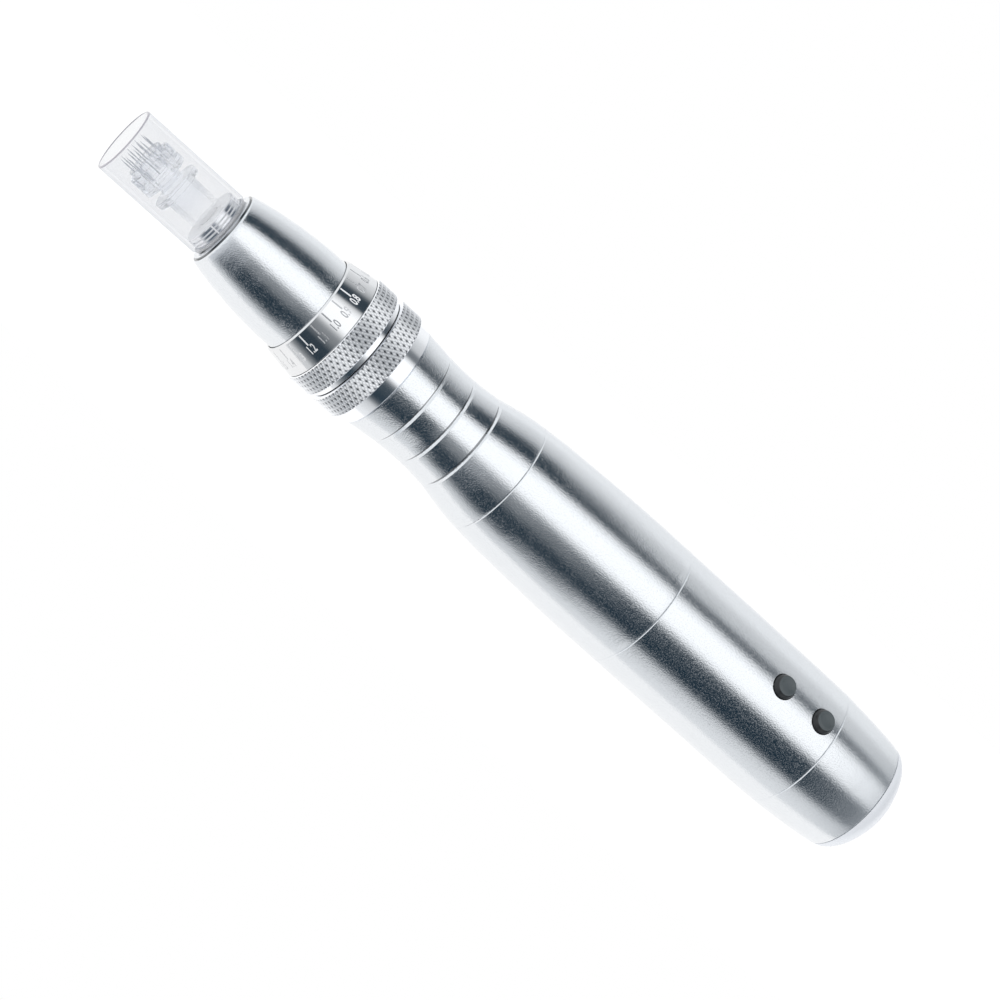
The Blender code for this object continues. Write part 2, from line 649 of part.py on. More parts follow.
def make_needle_holder():
    """Clear plunger: a slotted head that holds the needles, a disc, a body and a stem with a tail
    disc that its spring pushes back."""
    head = HEAD_LEAD + BOSS_LENGTH
    groove = head + HEAD_LENGTH / 2
    groove_end = groove + HEAD_GROOVE_WIDTH
    groove_radius = HEAD_RADIUS - HEAD_GROOVE_DEPTH
    holder = turned("needle_holder",
                    [(HEAD_LEAD, 0), (HEAD_LEAD, BOSS_RADIUS), (head, BOSS_RADIUS), (head, HEAD_RADIUS),
                     (groove, HEAD_RADIUS), (groove, groove_radius), (groove_end, groove_radius),
                     (groove_end, HEAD_RADIUS), (HEAD_END_Z, HEAD_RADIUS),
                     (HEAD_END_Z, NECK_OF_HEAD_RADIUS), (DISC_Z, NECK_OF_HEAD_RADIUS),
                     (DISC_Z, DISC_RADIUS), (DISC_Z + DISC_WIDTH, DISC_RADIUS),
                     (DISC_Z + DISC_WIDTH, PLUNGER_RADIUS), (PLUG_Z - REST_GAP, PLUNGER_RADIUS),
                     (PLUG_Z - REST_GAP, STEM_RADIUS), (TAIL_DISC_Z, STEM_RADIUS),
                     (TAIL_DISC_Z, TAIL_DISC_RADIUS), (HOLDER_END_Z, TAIL_DISC_RADIUS),
                     (HOLDER_END_Z, 0)], CLEAR, INNER_SIDES)
    half = HEAD_SLOT_WIDTH / 2
    for k in range(HEAD_SLOTS):
        slot = cutter(f"head_slot_{k + 1}", box_mesh(
            "head_slot", (HEAD_RADIUS - HEAD_SLOT_DEPTH, -half, head - OVERRUN),
            (HEAD_RADIUS + OVERRUN, half, HEAD_END_Z - HEAD_GROOVE_WIDTH)), AXIS)
        slot.rotation_euler.z = math.tau * k / HEAD_SLOTS
        cut(holder, slot)
    for k, (angle, radius) in enumerate(needle_places()):
        hole = cutter(f"needle_hole_{k + 1}", rod_mesh(
            "needle_hole", NEEDLE_RADIUS + FIT, around(radius, angle, HEAD_LEAD - OVERRUN),
            around(radius, angle, HEAD_LEAD + NEEDLE_DEPTH + FIT), NEEDLE_SIDES), AXIS)
        cut(holder, hole)


def make_needles():
    """Fine steel needles, each with its own ground point, set in the holder's head."""
    outline = [(NEEDLE_LEAD, 0), (NEEDLE_LEAD + NEEDLE_TIP_LENGTH, NEEDLE_RADIUS),
               (HEAD_LEAD + NEEDLE_DEPTH, NEEDLE_RADIUS), (HEAD_LEAD + NEEDLE_DEPTH, 0)]
    for k, (angle, radius) in enumerate(needle_places()):
        turned(f"needle_{k + 1:02d}", outline, NEEDLE_STEEL, NEEDLE_SIDES, AXIS, around(radius, angle, 0))


def make_cartridge_spring():
    """Pushes the needle holder back into the cartridge."""
    radius = (STEM_RADIUS + SPIGOT_BORE) / 2
    coil("cartridge_spring", radius, CARTRIDGE_WIRE_RADIUS, NOSE_Z + DEPTH_TRAVEL + REST_GAP,
         TAIL_DISC_Z - NEEDLE_STROKE - REST_GAP, CARTRIDGE_SPRING_TURNS)


def nose_side():
    """Outside of the nose cone, from its rounded front edge to its straight tail."""
    start = NOSE_Z + NOSE_EDGE
    edge_radius = NOSE_FACE_RADIUS + NOSE_EDGE
    steps = 5
    along, out = NOSE_EDGE_SHARES
    side = [(NOSE_Z, NOSE_FACE_RADIUS), (NOSE_Z + NOSE_EDGE * along, NOSE_FACE_RADIUS + NOSE_EDGE * out)]
    for k in range(steps + 1):
        share = k / steps
        side.append((start + (SCALE_Z - start) * share,
                     edge_radius + (NOSE_TAIL_RADIUS - edge_radius) * smooth_share(NOSE_SHARES, share)))
    return side


def make_nose_cone():
    """Aluminium cone that takes the cartridge. Its tail slides on the guide sleeve, and carries
    the helical track of the depth pin outside and the straight track of the key pin inside."""
    socket = SPIGOT_RADIUS + FIT
    bore = SLEEVE_RADIUS + RUN
    nose = turned("nose_cone",
                  [*nose_side(), (NOSE_END_Z, NOSE_TAIL_RADIUS), (NOSE_END_Z, bore), (NOSE_SOCKET_Z, bore),
                   (NOSE_SOCKET_Z, socket), (NOSE_Z, socket)], BLASTED)
    spare = PIN_TRACK_RADIUS / NOSE_TAIL_RADIUS
    sweep = math.tau * DEPTH_TRAVEL / DEPTH_PITCH + spare * 2
    turns = [-spare + sweep * k / TRACK_STEPS for k in range(TRACK_STEPS + 1)]
    track = [around(NOSE_TAIL_RADIUS, DEPTH_PIN_ANGLE - turn, DEPTH_PIN_Z - DEPTH_PITCH * turn / math.tau)
             for turn in turns]
    cut(nose, cutter("depth_track", tube_mesh("depth_track", track, PIN_TRACK_RADIUS), AXIS))
    slot = [around(bore, KEY_PIN_ANGLE, KEY_PIN_Z + PIN_TRACK_RADIUS),
            around(bore, KEY_PIN_ANGLE, KEY_PIN_Z - DEPTH_TRAVEL - PIN_TRACK_RADIUS)]
    cut(nose, cutter("key_track", tube_mesh("key_track", slot, PIN_TRACK_RADIUS), AXIS))
    keyway_length = OVERRUN + KEY_LEAD + KEY_LENGTH + RUN
    for side in (1, -1):
        keyway = key_box(side, KEY_HEIGHT + RUN, KEY_WIDTH + RUN * 2, -OVERRUN, keyway_length)
        cut(nose, cutter(f"cartridge_keyway_{side + 2}", keyway, AXIS))


def make_scale_ring():
    """Polished ring that carries the depth scale. Its spigot is pressed into the depth knob."""
    bore = NOSE_TAIL_RADIUS + RUN
    spigot = FLANGE_RADIUS + RUN - FIT
    spigot_end = KNOB_Z + SCALE_SPIGOT_LENGTH
    edge = SEAM / 2
    ring = turned("scale_ring",
                  [(SCALE_Z + edge, SCALE_FRONT_RADIUS), (KNOB_Z - edge, SCALE_REAR_RADIUS),
                   (KNOB_Z - edge, spigot), (spigot_end, spigot), (spigot_end, bore),
                   (SCALE_Z + edge, bore)], POLISHED)
    cut(ring, pin_pocket("depth_pin_pocket", around(NOSE_TAIL_RADIUS, DEPTH_PIN_ANGLE, DEPTH_PIN_Z),
                         DEPTH_PIN_ANGLE, True))
    radial_pin("depth_pin", around(NOSE_TAIL_RADIUS, DEPTH_PIN_ANGLE, DEPTH_PIN_Z), DEPTH_PIN_ANGLE, True)


def make_depth_knob():
    """Knurled ring that is turned to set the depth, with a lip behind the sleeve's flange."""
    start = KNOB_Z + SEAM / 2
    hub_end = GRIP_Z - REST_GAP
    bore = FLANGE_RADIUS + RUN
    lip_bore = NECK_RADIUS + RUN
    lip = FLANGE_Z + FLANGE_WIDTH + RUN
    knurled_ring("depth_knob", start, KNOB_Z + KNURL_WIDTH, KNOB_HUB_RADIUS, hub_end,
                 [(hub_end, lip_bore), (lip, lip_bore), (lip, bore), (start, bore)], KNURLED)


def make_grip_ring():
    """Fixed knurled ring and band, clamped between the guide sleeve and the front housing."""
    band_end = HOUSING_Z - SEAM / 2
    bore = NECK_RADIUS + FIT
    knurled_ring("grip_ring", GRIP_Z, GRIP_Z + KNURL_WIDTH, BAND_RADIUS, band_end,
                 [(band_end, bore), (GRIP_Z, bore)], KNURLED)


def make_guide_sleeve():
    """Steel sleeve screwed into the front housing. The nose slides on it, and its flange holds
    the depth knob."""
    neck_end = HOUSING_Z - SEAM / 2
    sleeve = turned("guide_sleeve",
                    [(SLEEVE_Z, SLEEVE_RADIUS), (FLANGE_Z, SLEEVE_RADIUS), (FLANGE_Z, FLANGE_RADIUS),
                     (FLANGE_Z + FLANGE_WIDTH, FLANGE_RADIUS), (FLANGE_Z + FLANGE_WIDTH, NECK_RADIUS),
                     (neck_end, NECK_RADIUS), (neck_end, SLEEVE_ROOT_RADIUS),
                     (SLEEVE_END_Z, SLEEVE_ROOT_RADIUS), (SLEEVE_END_Z, SLEEVE_BORE),
                     (SLEEVE_Z, SLEEVE_BORE)], POLISHED, INNER_SIDES)
    centre = around(SLEEVE_RADIUS + RUN, KEY_PIN_ANGLE, KEY_PIN_Z)
    cut(sleeve, pin_pocket("key_pin_pocket", centre, KEY_PIN_ANGLE, False))
    radial_pin("key_pin", centre, KEY_PIN_ANGLE, False)


def groove_points(place):
    """Three corners of a ring groove turned into the housing at a place."""
    half = WAIST_GROOVE_WIDTH / 2
    return [(place - half, body_radius(place - half)), (place, body_radius(place) - WAIST_GROOVE_DEPTH),
            (place + half, body_radius(place + half))]


def make_front_housing():
    """Waisted grip with three ring grooves. Its rear spigot joins the middle barrel and holds
    the motor."""
    start, end = HOUSING_Z + SEAM / 2, MIDDLE_Z - SEAM / 2
    side = [(start, body_radius(start))]
    for k in range(WAIST_GROOVES):
        side += groove_points(HOUSING_Z + WAIST_GROOVE_LEAD + WAIST_GROOVE_PITCH * k)
    side += body_side(side[-1][0], end, 4)[1:]
    spigot = MIDDLE_BORE - FIT
    spigot_end = MIDDLE_Z + SPIGOT_STEP
    seat = MOTOR_RADIUS + FIT
    waist_bore = WAIST_RADIUS - WALL
    root_bore = SLEEVE_ROOT_RADIUS + FIT
    turned("front_housing",
           [*side, (end, spigot), (spigot_end, spigot), (spigot_end, seat), (PLATE_Z - FIT, seat),
            (PLATE_Z - FIT, waist_bore), (SLEEVE_END_Z + FIT, waist_bore), (SLEEVE_END_Z + FIT, root_bore),
            (start, root_bore)], BLASTED)


def make_middle_barrel():
    """Barrel that covers the motor. Its rear spigot joins the rear barrel."""
    start, end = MIDDLE_Z + SEAM / 2, REAR_Z - SEAM / 2
    spigot = BARREL_BORE - FIT
    spigot_end = REAR_Z + SPIGOT_STEP
    turned("middle_barrel",
           [*body_side(start, end, 4), (end, spigot), (spigot_end, spigot), (spigot_end, MIDDLE_BORE),
            (start, MIDDLE_BORE)], BLASTED)


def make_rear_barrel():
    """Barrel that covers the battery and holds the two buttons."""
    start, end = REAR_Z + SEAM / 2, TAIL_Z - SEAM / 2
    spigot = TAIL_BORE + WALL - FIT
    spigot_end = TAIL_Z + SPIGOT_STEP
    barrel = turned("rear_barrel",
                    [(start, BODY_RADIUS), *body_side(TAPER_Z, end, 3), (end, spigot), (spigot_end, spigot),
                     (spigot_end, TAIL_BORE), (SHOULDER_Z, TAIL_BORE), (SHOULDER_Z, BARREL_BORE),
                     (start, BARREL_BORE)], BLASTED)
    for k in range(2):
        place = BUTTON_Z + BUTTON_SPACING * k
        inner, outer = on_pen(place, BARREL_BORE - OVERRUN), on_pen(place, BODY_RADIUS + OVERRUN)
        hole = rod_mesh("button_hole", BUTTON_RADIUS + BUTTON_HOLE_FIT, inner, outer, INNER_SIDES)
        cut(barrel, cutter(f"button_hole_{k + 1}", hole))


def make_tail_sleeve():
    """Short tapered sleeve between the rear barrel and the end cap."""
    start, end = TAIL_Z + SEAM / 2, CAP_Z - SEAM / 2
    step = TAIL_Z + SPIGOT_STEP + FIT
    turned("tail_sleeve",
           [*body_side(start, end, 4), (end, TAIL_BORE), (step, TAIL_BORE), (step, TAIL_BORE + WALL),
            (start, TAIL_BORE + WALL)], BLASTED)


def make_end_cap():
    """Pearl domed cap with a flat end, a spigot in the tail sleeve and the socket's hole."""
    start = CAP_Z + SEAM / 2
    dome = [(start + (END_Z - start) * along, TAIL_RADIUS + (END_FLAT_RADIUS - TAIL_RADIUS) * drop)
            for along, drop in DOME_SHARES]
    hole = SOCKET_RADIUS + FIT
    spigot = TAIL_BORE - FIT
    floor = END_Z - WALL - SOCKET_RECESS
    turned("end_cap",
           [(CAP_Z - SPIGOT_STEP, spigot), (start, spigot), *dome, (END_Z, hole), (floor, hole),
            (floor, SOCKET_FLANGE_RADIUS + FIT), (start, SOCKET_FLANGE_RADIUS + FIT),
            (start, spigot - CAP_SPIGOT_WALL), (CAP_Z - SPIGOT_STEP, spigot - CAP_SPIGOT_WALL)], CAP_PAINT)


def make_charging_socket():
    """Barrel socket with its centre pin, in the middle of the end cap."""
    front = END_Z - SOCKET_RECESS
    shoulder = END_Z - WALL - SOCKET_RECESS - FIT
    floor = SOCKET_Z + SOCKET_FLOOR
    pin_hole = SOCKET_PIN_RADIUS + FIT
    turned("charging_socket",
           [(SOCKET_Z, SOCKET_RADIUS), (shoulder - SOCKET_FLANGE_WIDTH, SOCKET_RADIUS),
            (shoulder - SOCKET_FLANGE_WIDTH, SOCKET_FLANGE_RADIUS), (shoulder, SOCKET_FLANGE_RADIUS),
            (shoulder, SOCKET_RADIUS), (front, SOCKET_RADIUS), (front, SOCKET_BORE), (floor, SOCKET_BORE),
            (floor, pin_hole), (SOCKET_Z, pin_hole)], BLACK_PLASTIC, INNER_SIDES)
    tip = front - SOCKET_PIN_RECESS
    turned("charging_pin",
           [(SOCKET_Z - SOCKET_FLOOR, 0), (SOCKET_Z - SOCKET_FLOOR, SOCKET_PIN_RADIUS),
            (tip - SOCKET_PIN_RADIUS / 2, SOCKET_PIN_RADIUS), (tip, SOCKET_PIN_RADIUS / 2), (tip, 0)],
           NEEDLE_STEEL, SMALL_SIDES)


def make_bushings():
    """Two brass bushings that guide the rod in the sleeve."""
    outer, bore = SLEEVE_BORE - FIT, ROD_RADIUS + RUN
    for name, start in (("front_bushing", FRONT_BUSHING_Z), ("rear_bushing", REAR_BUSHING_Z)):
        end = start + BUSHING_LENGTH
        turned(name, [(start, outer), (end, outer), (end, bore), (start, bore)], BRASS, INNER_SIDES)


def make_push_rod():
    """Steel rod that pushes the needle holder, with the collar of its return spring."""
    rear = FOLLOWER_Z + FOLLOWER_WIDTH - FIT
    turned("push_rod",
           [(ROD_Z, 0), (ROD_Z, PUSHER_RADIUS), (ROD_Z + PUSHER_LENGTH, PUSHER_RADIUS),
            (ROD_Z + PUSHER_LENGTH, ROD_RADIUS), (COLLAR_Z, ROD_RADIUS), (COLLAR_Z, COLLAR_RADIUS),
            (COLLAR_Z + COLLAR_WIDTH, COLLAR_RADIUS), (COLLAR_Z + COLLAR_WIDTH, ROD_RADIUS),
            (rear, ROD_RADIUS), (rear, 0)], NEEDLE_STEEL, SMALL_SIDES)
    coil("rod_spring", ROD_SPRING_RADIUS, ROD_WIRE_RADIUS, FRONT_BUSHING_Z + BUSHING_LENGTH + FIT,
         COLLAR_Z - NEEDLE_STROKE - REST_GAP, ROD_SPRING_TURNS)


def make_follower():
    """Head on the rod's rear end, with two ears that hold the roller's axle."""
    end = FOLLOWER_Z + FOLLOWER_WIDTH
    bore = ROD_RADIUS + FIT
    head = turned("follower_head",
                  [(FOLLOWER_Z, FOLLOWER_RADIUS), (end, FOLLOWER_RADIUS), (end, bore), (FOLLOWER_Z, bore)],
                  ACETAL, INNER_SIDES)
    inner = ROLLER_TRACK_RADIUS - ROLLER_WIDTH / 2 - FIT
    outer = ROLLER_REACH + FIT
    thickness = FOLLOWER_RADIUS - FIT - outer
    half = EAR_WIDTH / 2
    for k, low in enumerate((inner - thickness, outer)):
        ear = box_mesh("ear", (-low - thickness, -half, end - FOLLOWER_WIDTH / 2), (-low, half, EAR_END_Z))
        cut(head, cutter(f"ear_{k + 1}", ear, AXIS), "UNION")
    axle_hole = rod_mesh("axle_hole", AXLE_RADIUS + FIT / 2, (-inner + thickness / 2 + OVERRUN, 0, ROLLER_Z),
                         (-FOLLOWER_RADIUS - OVERRUN, 0, ROLLER_Z), SMALL_SIDES)
    cut(head, cutter("axle_hole", axle_hole, AXIS))
    keep("follower_axle", rod_mesh("follower_axle", AXLE_RADIUS, (-inner + thickness, 0, ROLLER_Z),
                                   (-FOLLOWER_RADIUS + FIT, 0, ROLLER_Z), SMALL_SIDES), NEEDLE_STEEL, AXIS)
    bore = AXLE_RADIUS + FIT / 2
    low, high = -ROLLER_WIDTH / 2, ROLLER_WIDTH / 2
    turned("follower_roller",
           [(low, ROLLER_RADIUS), (high, ROLLER_RADIUS), (high, bore), (low, bore)],
           SPRING_STEEL, INNER_SIDES, None, on_pen(ROLLER_Z, ROLLER_TRACK_RADIUS))


def make_cam():
    """Swash cam: a wheel whose slanted face pushes the roller once in each turn of the shaft."""
    bore = SHAFT_RADIUS + FIT
    front = CAM_Z - CAM_SLOPE * CAM_RADIUS - OVERRUN
    cam = turned("swash_cam",
                 [(front, CAM_RADIUS), (CAM_END_Z, CAM_RADIUS), (CAM_END_Z, bore), (front, bore)],
                 POLISHED, INNER_SIDES)
    reach = CAM_RADIUS + CAM_RADIUS
    slab = cutter("cam_slant", box_mesh("cam_slant", (-reach, -reach, -reach), (reach, reach, 0)), AXIS)
    slab.location.z = CAM_Z
    slab.rotation_euler.y = math.atan(CAM_SLOPE)
    cut(cam, slab)
    shaft_front = CAM_Z + CAM_SLOPE * CAM_RADIUS
    turned("motor_shaft",
           [(shaft_front, 0), (shaft_front, SHAFT_RADIUS), (SHAFT_END_Z, SHAFT_RADIUS), (SHAFT_END_Z, 0)],
           NEEDLE_STEEL, SMALL_SIDES)


def make_motor():
    """Direct-current motor in the housing's seat, its front plate, its plastic end and a holder."""
    end = MOTOR_Z + MOTOR_LENGTH
    bore = SHAFT_RADIUS + RUN
    bore_end = SHAFT_END_Z + RUN
    boss = PLATE_Z + PLATE_WIDTH / 2
    turned("motor_can",
           [(boss, MOTOR_BOSS_RADIUS), (MOTOR_Z, MOTOR_BOSS_RADIUS), (MOTOR_Z, MOTOR_RADIUS),
            (end, MOTOR_RADIUS), (end, 0), (bore_end, 0), (bore_end, bore), (boss, bore)],
           MOTOR_STEEL, INNER_SIDES)
    plate_bore = MOTOR_BOSS_RADIUS + FIT
    turned("motor_plate",
           [(PLATE_Z, MOTOR_RADIUS), (PLATE_Z + PLATE_WIDTH, MOTOR_RADIUS),
            (PLATE_Z + PLATE_WIDTH, plate_bore), (PLATE_Z, plate_bore)], ACETAL, INNER_SIDES)
    bell = MOTOR_RADIUS - ENDBELL_STEP
    turned("motor_endbell",
           [(end + FIT, 0), (end + FIT, bell), (end + ENDBELL_LENGTH, bell), (end + ENDBELL_LENGTH, 0)],
           BLACK_PLASTIC, SMALL_SIDES)
    holder_end = end - MOTOR_HOLDER_LEAD + MOTOR_HOLDER_LENGTH
    holder = end - MOTOR_HOLDER_LEAD
    outer, inner = MIDDLE_BORE - FIT, MOTOR_RADIUS + FIT
    turned("motor_holder", [(holder, outer), (holder_end, outer), (holder_end, inner), (holder, inner)],
           ACETAL, INNER_SIDES)


def board_box(start, end, grow):
    """The control board's block between two places, or the slot that it sits in."""
    half = BOARD_WIDTH / 2 + grow
    return box_mesh("board", on_pen(start, BOARD_HEIGHT - grow, -half),
                    on_pen(end, BOARD_HEIGHT + BOARD_THICKNESS + grow, half))


def make_battery():
    """Lithium cell between two stops that also carry the control board."""
    low = around(BATTERY_DROP, 0, 0)
    nub_end = BATTERY_END_Z + BATTERY_NUB_LENGTH
    turned("battery",
           [(BATTERY_Z, 0), (BATTERY_Z, BATTERY_RADIUS), (BATTERY_END_Z, BATTERY_RADIUS),
            (BATTERY_END_Z, BATTERY_NUB_RADIUS), (nub_end, BATTERY_NUB_RADIUS), (nub_end, 0)],
           CELL_WRAP, INNER_SIDES, AXIS, low)
    contact = STOP_Z + STOP_WIDTH + FIT
    turned("battery_contact",
           [(contact, 0), (contact, CONTACT_RADIUS), (contact + CONTACT_WIDTH, CONTACT_RADIUS / 2),
            (contact + CONTACT_WIDTH, 0)], BRASS, SMALL_SIDES, AXIS, low)
    for name, start, bore in (("front_stop", STOP_Z, MIDDLE_BORE), ("rear_stop", REAR_STOP_Z, TAIL_BORE)):
        radius, end = bore - FIT, start + STOP_WIDTH
        stop = turned(name, [(start, 0), (start, radius), (end, radius), (end, 0)], ACETAL, INNER_SIDES)
        cut(stop, cutter(f"{name}_slot", board_box(start - OVERRUN, end + OVERRUN, FIT)))


def make_board():
    """Control board above the cell, with one switch under each button."""
    inset = STOP_WIDTH / 2
    keep("control_board", board_box(STOP_Z + inset, REAR_STOP_Z + inset, 0), BOARD_GREEN)
    top = BOARD_HEIGHT + BOARD_THICKNESS + FIT
    half = SWITCH_SIZE / 2
    tip = BODY_RADIUS - BUTTON_FLANGE_DROP - BUTTON_FLANGE_WIDTH - BUTTON_TRAVEL - FIT
    for k, name in enumerate(("front_switch", "rear_switch")):
        place = BUTTON_Z + BUTTON_SPACING * k
        switch = keep(name, box_mesh(name, on_pen(place - half, top, -half),
                                     on_pen(place + half, top + SWITCH_HEIGHT, half)), BLACK_PLASTIC)
        stem = rod_mesh("switch_tip", SWITCH_TIP_RADIUS, on_pen(place, top + SWITCH_HEIGHT / 2),
                        on_pen(place, tip), SMALL_SIDES)
        cut(switch, cutter(f"{name}_tip", stem), "UNION")


def make_buttons():
    """Grey rubber buttons, tapered and dished, each with a flange inside the barrel."""
    flange_top = -BUTTON_FLANGE_DROP
    flange = flange_top - BUTTON_FLANGE_WIDTH
    flange_radius = BUTTON_RADIUS + BUTTON_FLANGE_STEP
    crown = BUTTON_PROUD - BUTTON_DISH
    top_radius = BUTTON_RADIUS - BUTTON_TAPER
    outline = [(flange, 0), (flange, flange_radius), (flange_top, flange_radius),
               (flange_top, BUTTON_RADIUS), (0, BUTTON_RADIUS), (BUTTON_PROUD, top_radius),
               (crown, top_radius * BUTTON_DISH_SHARE), (crown, 0)]
    for k, name in enumerate(("front_button", "rear_button")):
        place = on_pen(BUTTON_Z + BUTTON_SPACING * k, BODY_RADIUS)
        turned(name, outline, RUBBER, INNER_SIDES, None, place)


def settle_shapes():
    """Replace each sub-part's modifiers by their result and shade it smooth between its edges."""
    finished = {made: evaluated_mesh(made) for made in PEN.objects if made.type == "MESH"}
    for made, mesh in finished.items():
        made.modifiers.clear()
        made.data = mesh
        mesh.shade_smooth()
        mesh.set_sharp_from_angle(angle=SHARP_ANGLE)


make_cartridge_shell()
make_cartridge_base()
make_cartridge_seal()
make_needle_holder()
make_needles()
make_cartridge_spring()
make_nose_cone()
make_scale_ring()
make_depth_knob()
make_grip_ring()
make_guide_sleeve()
make_front_housing()
make_middle_barrel()
make_rear_barrel()
make_tail_sleeve()
make_end_cap()
make_charging_socket()
make_bushings()
make_push_rod()
make_follower()
make_cam()
make_motor()
make_battery()
make_board()
make_buttons()
settle_shapes()
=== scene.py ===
import math

import bpy
from mathutils import Matrix, Vector


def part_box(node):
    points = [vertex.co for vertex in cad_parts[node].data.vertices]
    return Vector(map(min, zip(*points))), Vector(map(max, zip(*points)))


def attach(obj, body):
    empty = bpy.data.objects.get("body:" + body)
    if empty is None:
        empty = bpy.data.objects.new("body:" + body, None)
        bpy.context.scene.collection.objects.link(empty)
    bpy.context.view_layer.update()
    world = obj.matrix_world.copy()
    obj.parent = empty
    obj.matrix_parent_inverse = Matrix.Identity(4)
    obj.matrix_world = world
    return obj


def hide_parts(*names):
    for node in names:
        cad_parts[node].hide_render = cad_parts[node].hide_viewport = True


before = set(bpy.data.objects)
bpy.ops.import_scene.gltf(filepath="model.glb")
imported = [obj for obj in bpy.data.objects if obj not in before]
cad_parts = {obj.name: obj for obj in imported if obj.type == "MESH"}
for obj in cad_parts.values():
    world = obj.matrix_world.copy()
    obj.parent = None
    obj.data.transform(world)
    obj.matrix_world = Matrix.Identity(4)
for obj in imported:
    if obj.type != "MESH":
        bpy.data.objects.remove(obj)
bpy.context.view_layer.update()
bpy.ops.object.select_all(action="DESELECT")

# Camera. A long lens looks down on the pen's side from 650 mm, with the needle end nearer,
# and is rolled so that the pen runs from the upper left to the lower right.
MM = 0.001
RIM_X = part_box("cartridge_shell")[0][0]
AXIS_HEIGHT = 11.9423 * MM
TURN, TILT = math.radians(28), math.radians(17)
ROLL_COS, ROLL_SIN = 0.74485, 0.66723
DISTANCE, AIM_X, AIM_RIGHT, AIM_UP = 650, 85.3, 1.814, 2.019
along = Vector((1, 0, 0))
facing = Vector((0, -math.sin(TURN), math.cos(TURN)))
across = along.cross(facing)
level = along * math.cos(TILT) + facing * math.sin(TILT)
back = facing * math.cos(TILT) - along * math.sin(TILT)
right = level * ROLL_COS - across * ROLL_SIN
up = level * -ROLL_SIN - across * ROLL_COS
aim = Vector((RIM_X + AIM_X * MM, 0, AXIS_HEIGHT))
bpy.ops.object.camera_add(location=aim - (right * AIM_RIGHT + up * AIM_UP - back * DISTANCE) * MM,
                          rotation=Matrix((right, up, back)).transposed().to_euler())
camera = bpy.context.object
camera.name = "camera"
camera.data.sensor_width = 36
camera.data.lens = 143.82
camera.data.clip_start = 0.01
bpy.context.scene.camera = camera
bpy.context.scene.view_settings.view_transform = "Standard"


# Studio. A white floor under a long softbox, a dark flag on each side of it and a pale wall behind,
# all running the pen's way, so that its turned metal shows them as stripes.
class Level:
    """A socket of a node, on which Python's signs add the Math nodes."""

    def __init__(self, graph, socket):
        self.graph, self.socket = graph, socket

    def math(self, operation, first, second):
        return self.graph.add("ShaderNodeMath", {"operation": operation}, {0: first, 1: second})

    def __add__(self, other):
        return self.math("ADD", self, other)

    def __rsub__(self, other):
        return self.math("SUBTRACT", other, self)

    def __mul__(self, other):
        return self.math("MULTIPLY", self, other)

    def __truediv__(self, other):
        return self.math("DIVIDE", self, other)

    __radd__, __rmul__ = __add__, __mul__


class Graph:
    """The nodes of one finish, or of the studio's light."""

    def __init__(self, tree):
        self.tree = tree
        tree.nodes.clear()

    def add(self, kind, settings, inputs, output=0):
        """One node: its settings, then the values or links of its inputs. Gives the output named."""
        node = self.tree.nodes.new(kind)
        for key, value in settings.items():
            if key == "stops":
                ramp = node.color_ramp.elements
                for k, (place, colour) in enumerate(value):
                    stop = ramp[k] if k < 2 else ramp.new(place)
                    stop.position, stop.color = place, (*colour, 1)
            else:
                setattr(node, key, value)
        for key, value in inputs.items():
            if isinstance(value, Level):
                self.tree.links.new(value.socket, node.inputs[key])
            else:
                node.inputs[key].default_value = value
        return Level(self, node.outputs[output] if node.outputs else None)

    def part(self, vector, letter):
        """One component, X, Y or Z, of a vector."""
        return self.add("ShaderNodeSeparateXYZ", {}, {0: vector}, letter)


SOFTBOX = ((-22, 0.62), (-14, 0.9), (-6, 1), (20, 0.96), (27, 0.74))
NEEDLE_END = ((-100, 0.78), (-90, 0.66), (-78, 0.58), (-68, 0.46), (-60, 0.3), (-54, 0.1), (-47, 0.035),
              (-28, 0.035), *SOFTBOX, (34, 0.36), (40, 0.22), (50, 0.18), (58, 0.1), (66, 0.03), (92, 0.03),
              (104, 0.24), (112, 0.58))
TAIL_END = ((-100, 0.75), (-88, 0.76), (-80, 0.7), (-70, 0.58), (-50, 0.53), (-45, 0.42), (-40, 0.17),
            (-29, 0.12), *SOFTBOX, (33, 0.24), (38, 0.06), (46, 0.02), (71, 0.02), (78, 0.06), (84, 0.24),
            (90, 0.54), (98, 0.63), (112, 0.69))
LOW_WALL, FRONT_WALL = (0.56, 0.58, 0.61, 1), (0.78, 0.8, 0.82, 1)
REAR_WALL, REAR_FLAG = (0.35, 0.37, 0.39, 1), (0.06, 0.07, 0.085, 1)
COLD, METAL_LIGHT = 0.014, 1.25
FLOOR_LENGTH, FLOOR_WIDTH, FLOOR_GLOW = 0.3, 0.064, 0.95
studio = bpy.data.worlds.new("studio")
bpy.context.scene.world = studio
studio.use_nodes = True
sky = Graph(studio.node_tree)
way = sky.add("ShaderNodeTexCoord", {}, {}, "Generated")
forward = sky.part(way, "X")
turn_of_way = sky.add("ShaderNodeMath", {"operation": "ARCTAN2"},
                      {0: 0 - sky.part(way, "Y"), 1: sky.part(way, "Z")})


def strips(levels):
    """The softbox and its flags round the pen, by degrees from above towards the viewer."""
    stops = [((turn + 180) / 360, (level - COLD, level, level + COLD)) for turn, level in levels]
    return sky.add("ShaderNodeValToRGB", {"stops": stops}, {0: turn_of_way / math.tau + 0.5})


def over(start, end, share):
    """A share that grows from 0 as a direction leans from one amount to another along the pen."""
    return sky.add("ShaderNodeMapRange", {"interpolation_type": "SMOOTHSTEP"},
                   {"Value": forward, "From Min": start, "From Max": end, "To Max": share})


def blend(share, first, second):
    """The studio's light that goes from one to another by a share."""
    return sky.add("ShaderNodeMix", {"data_type": "RGBA"}, {0: share, 6: first, 7: second}, 2)


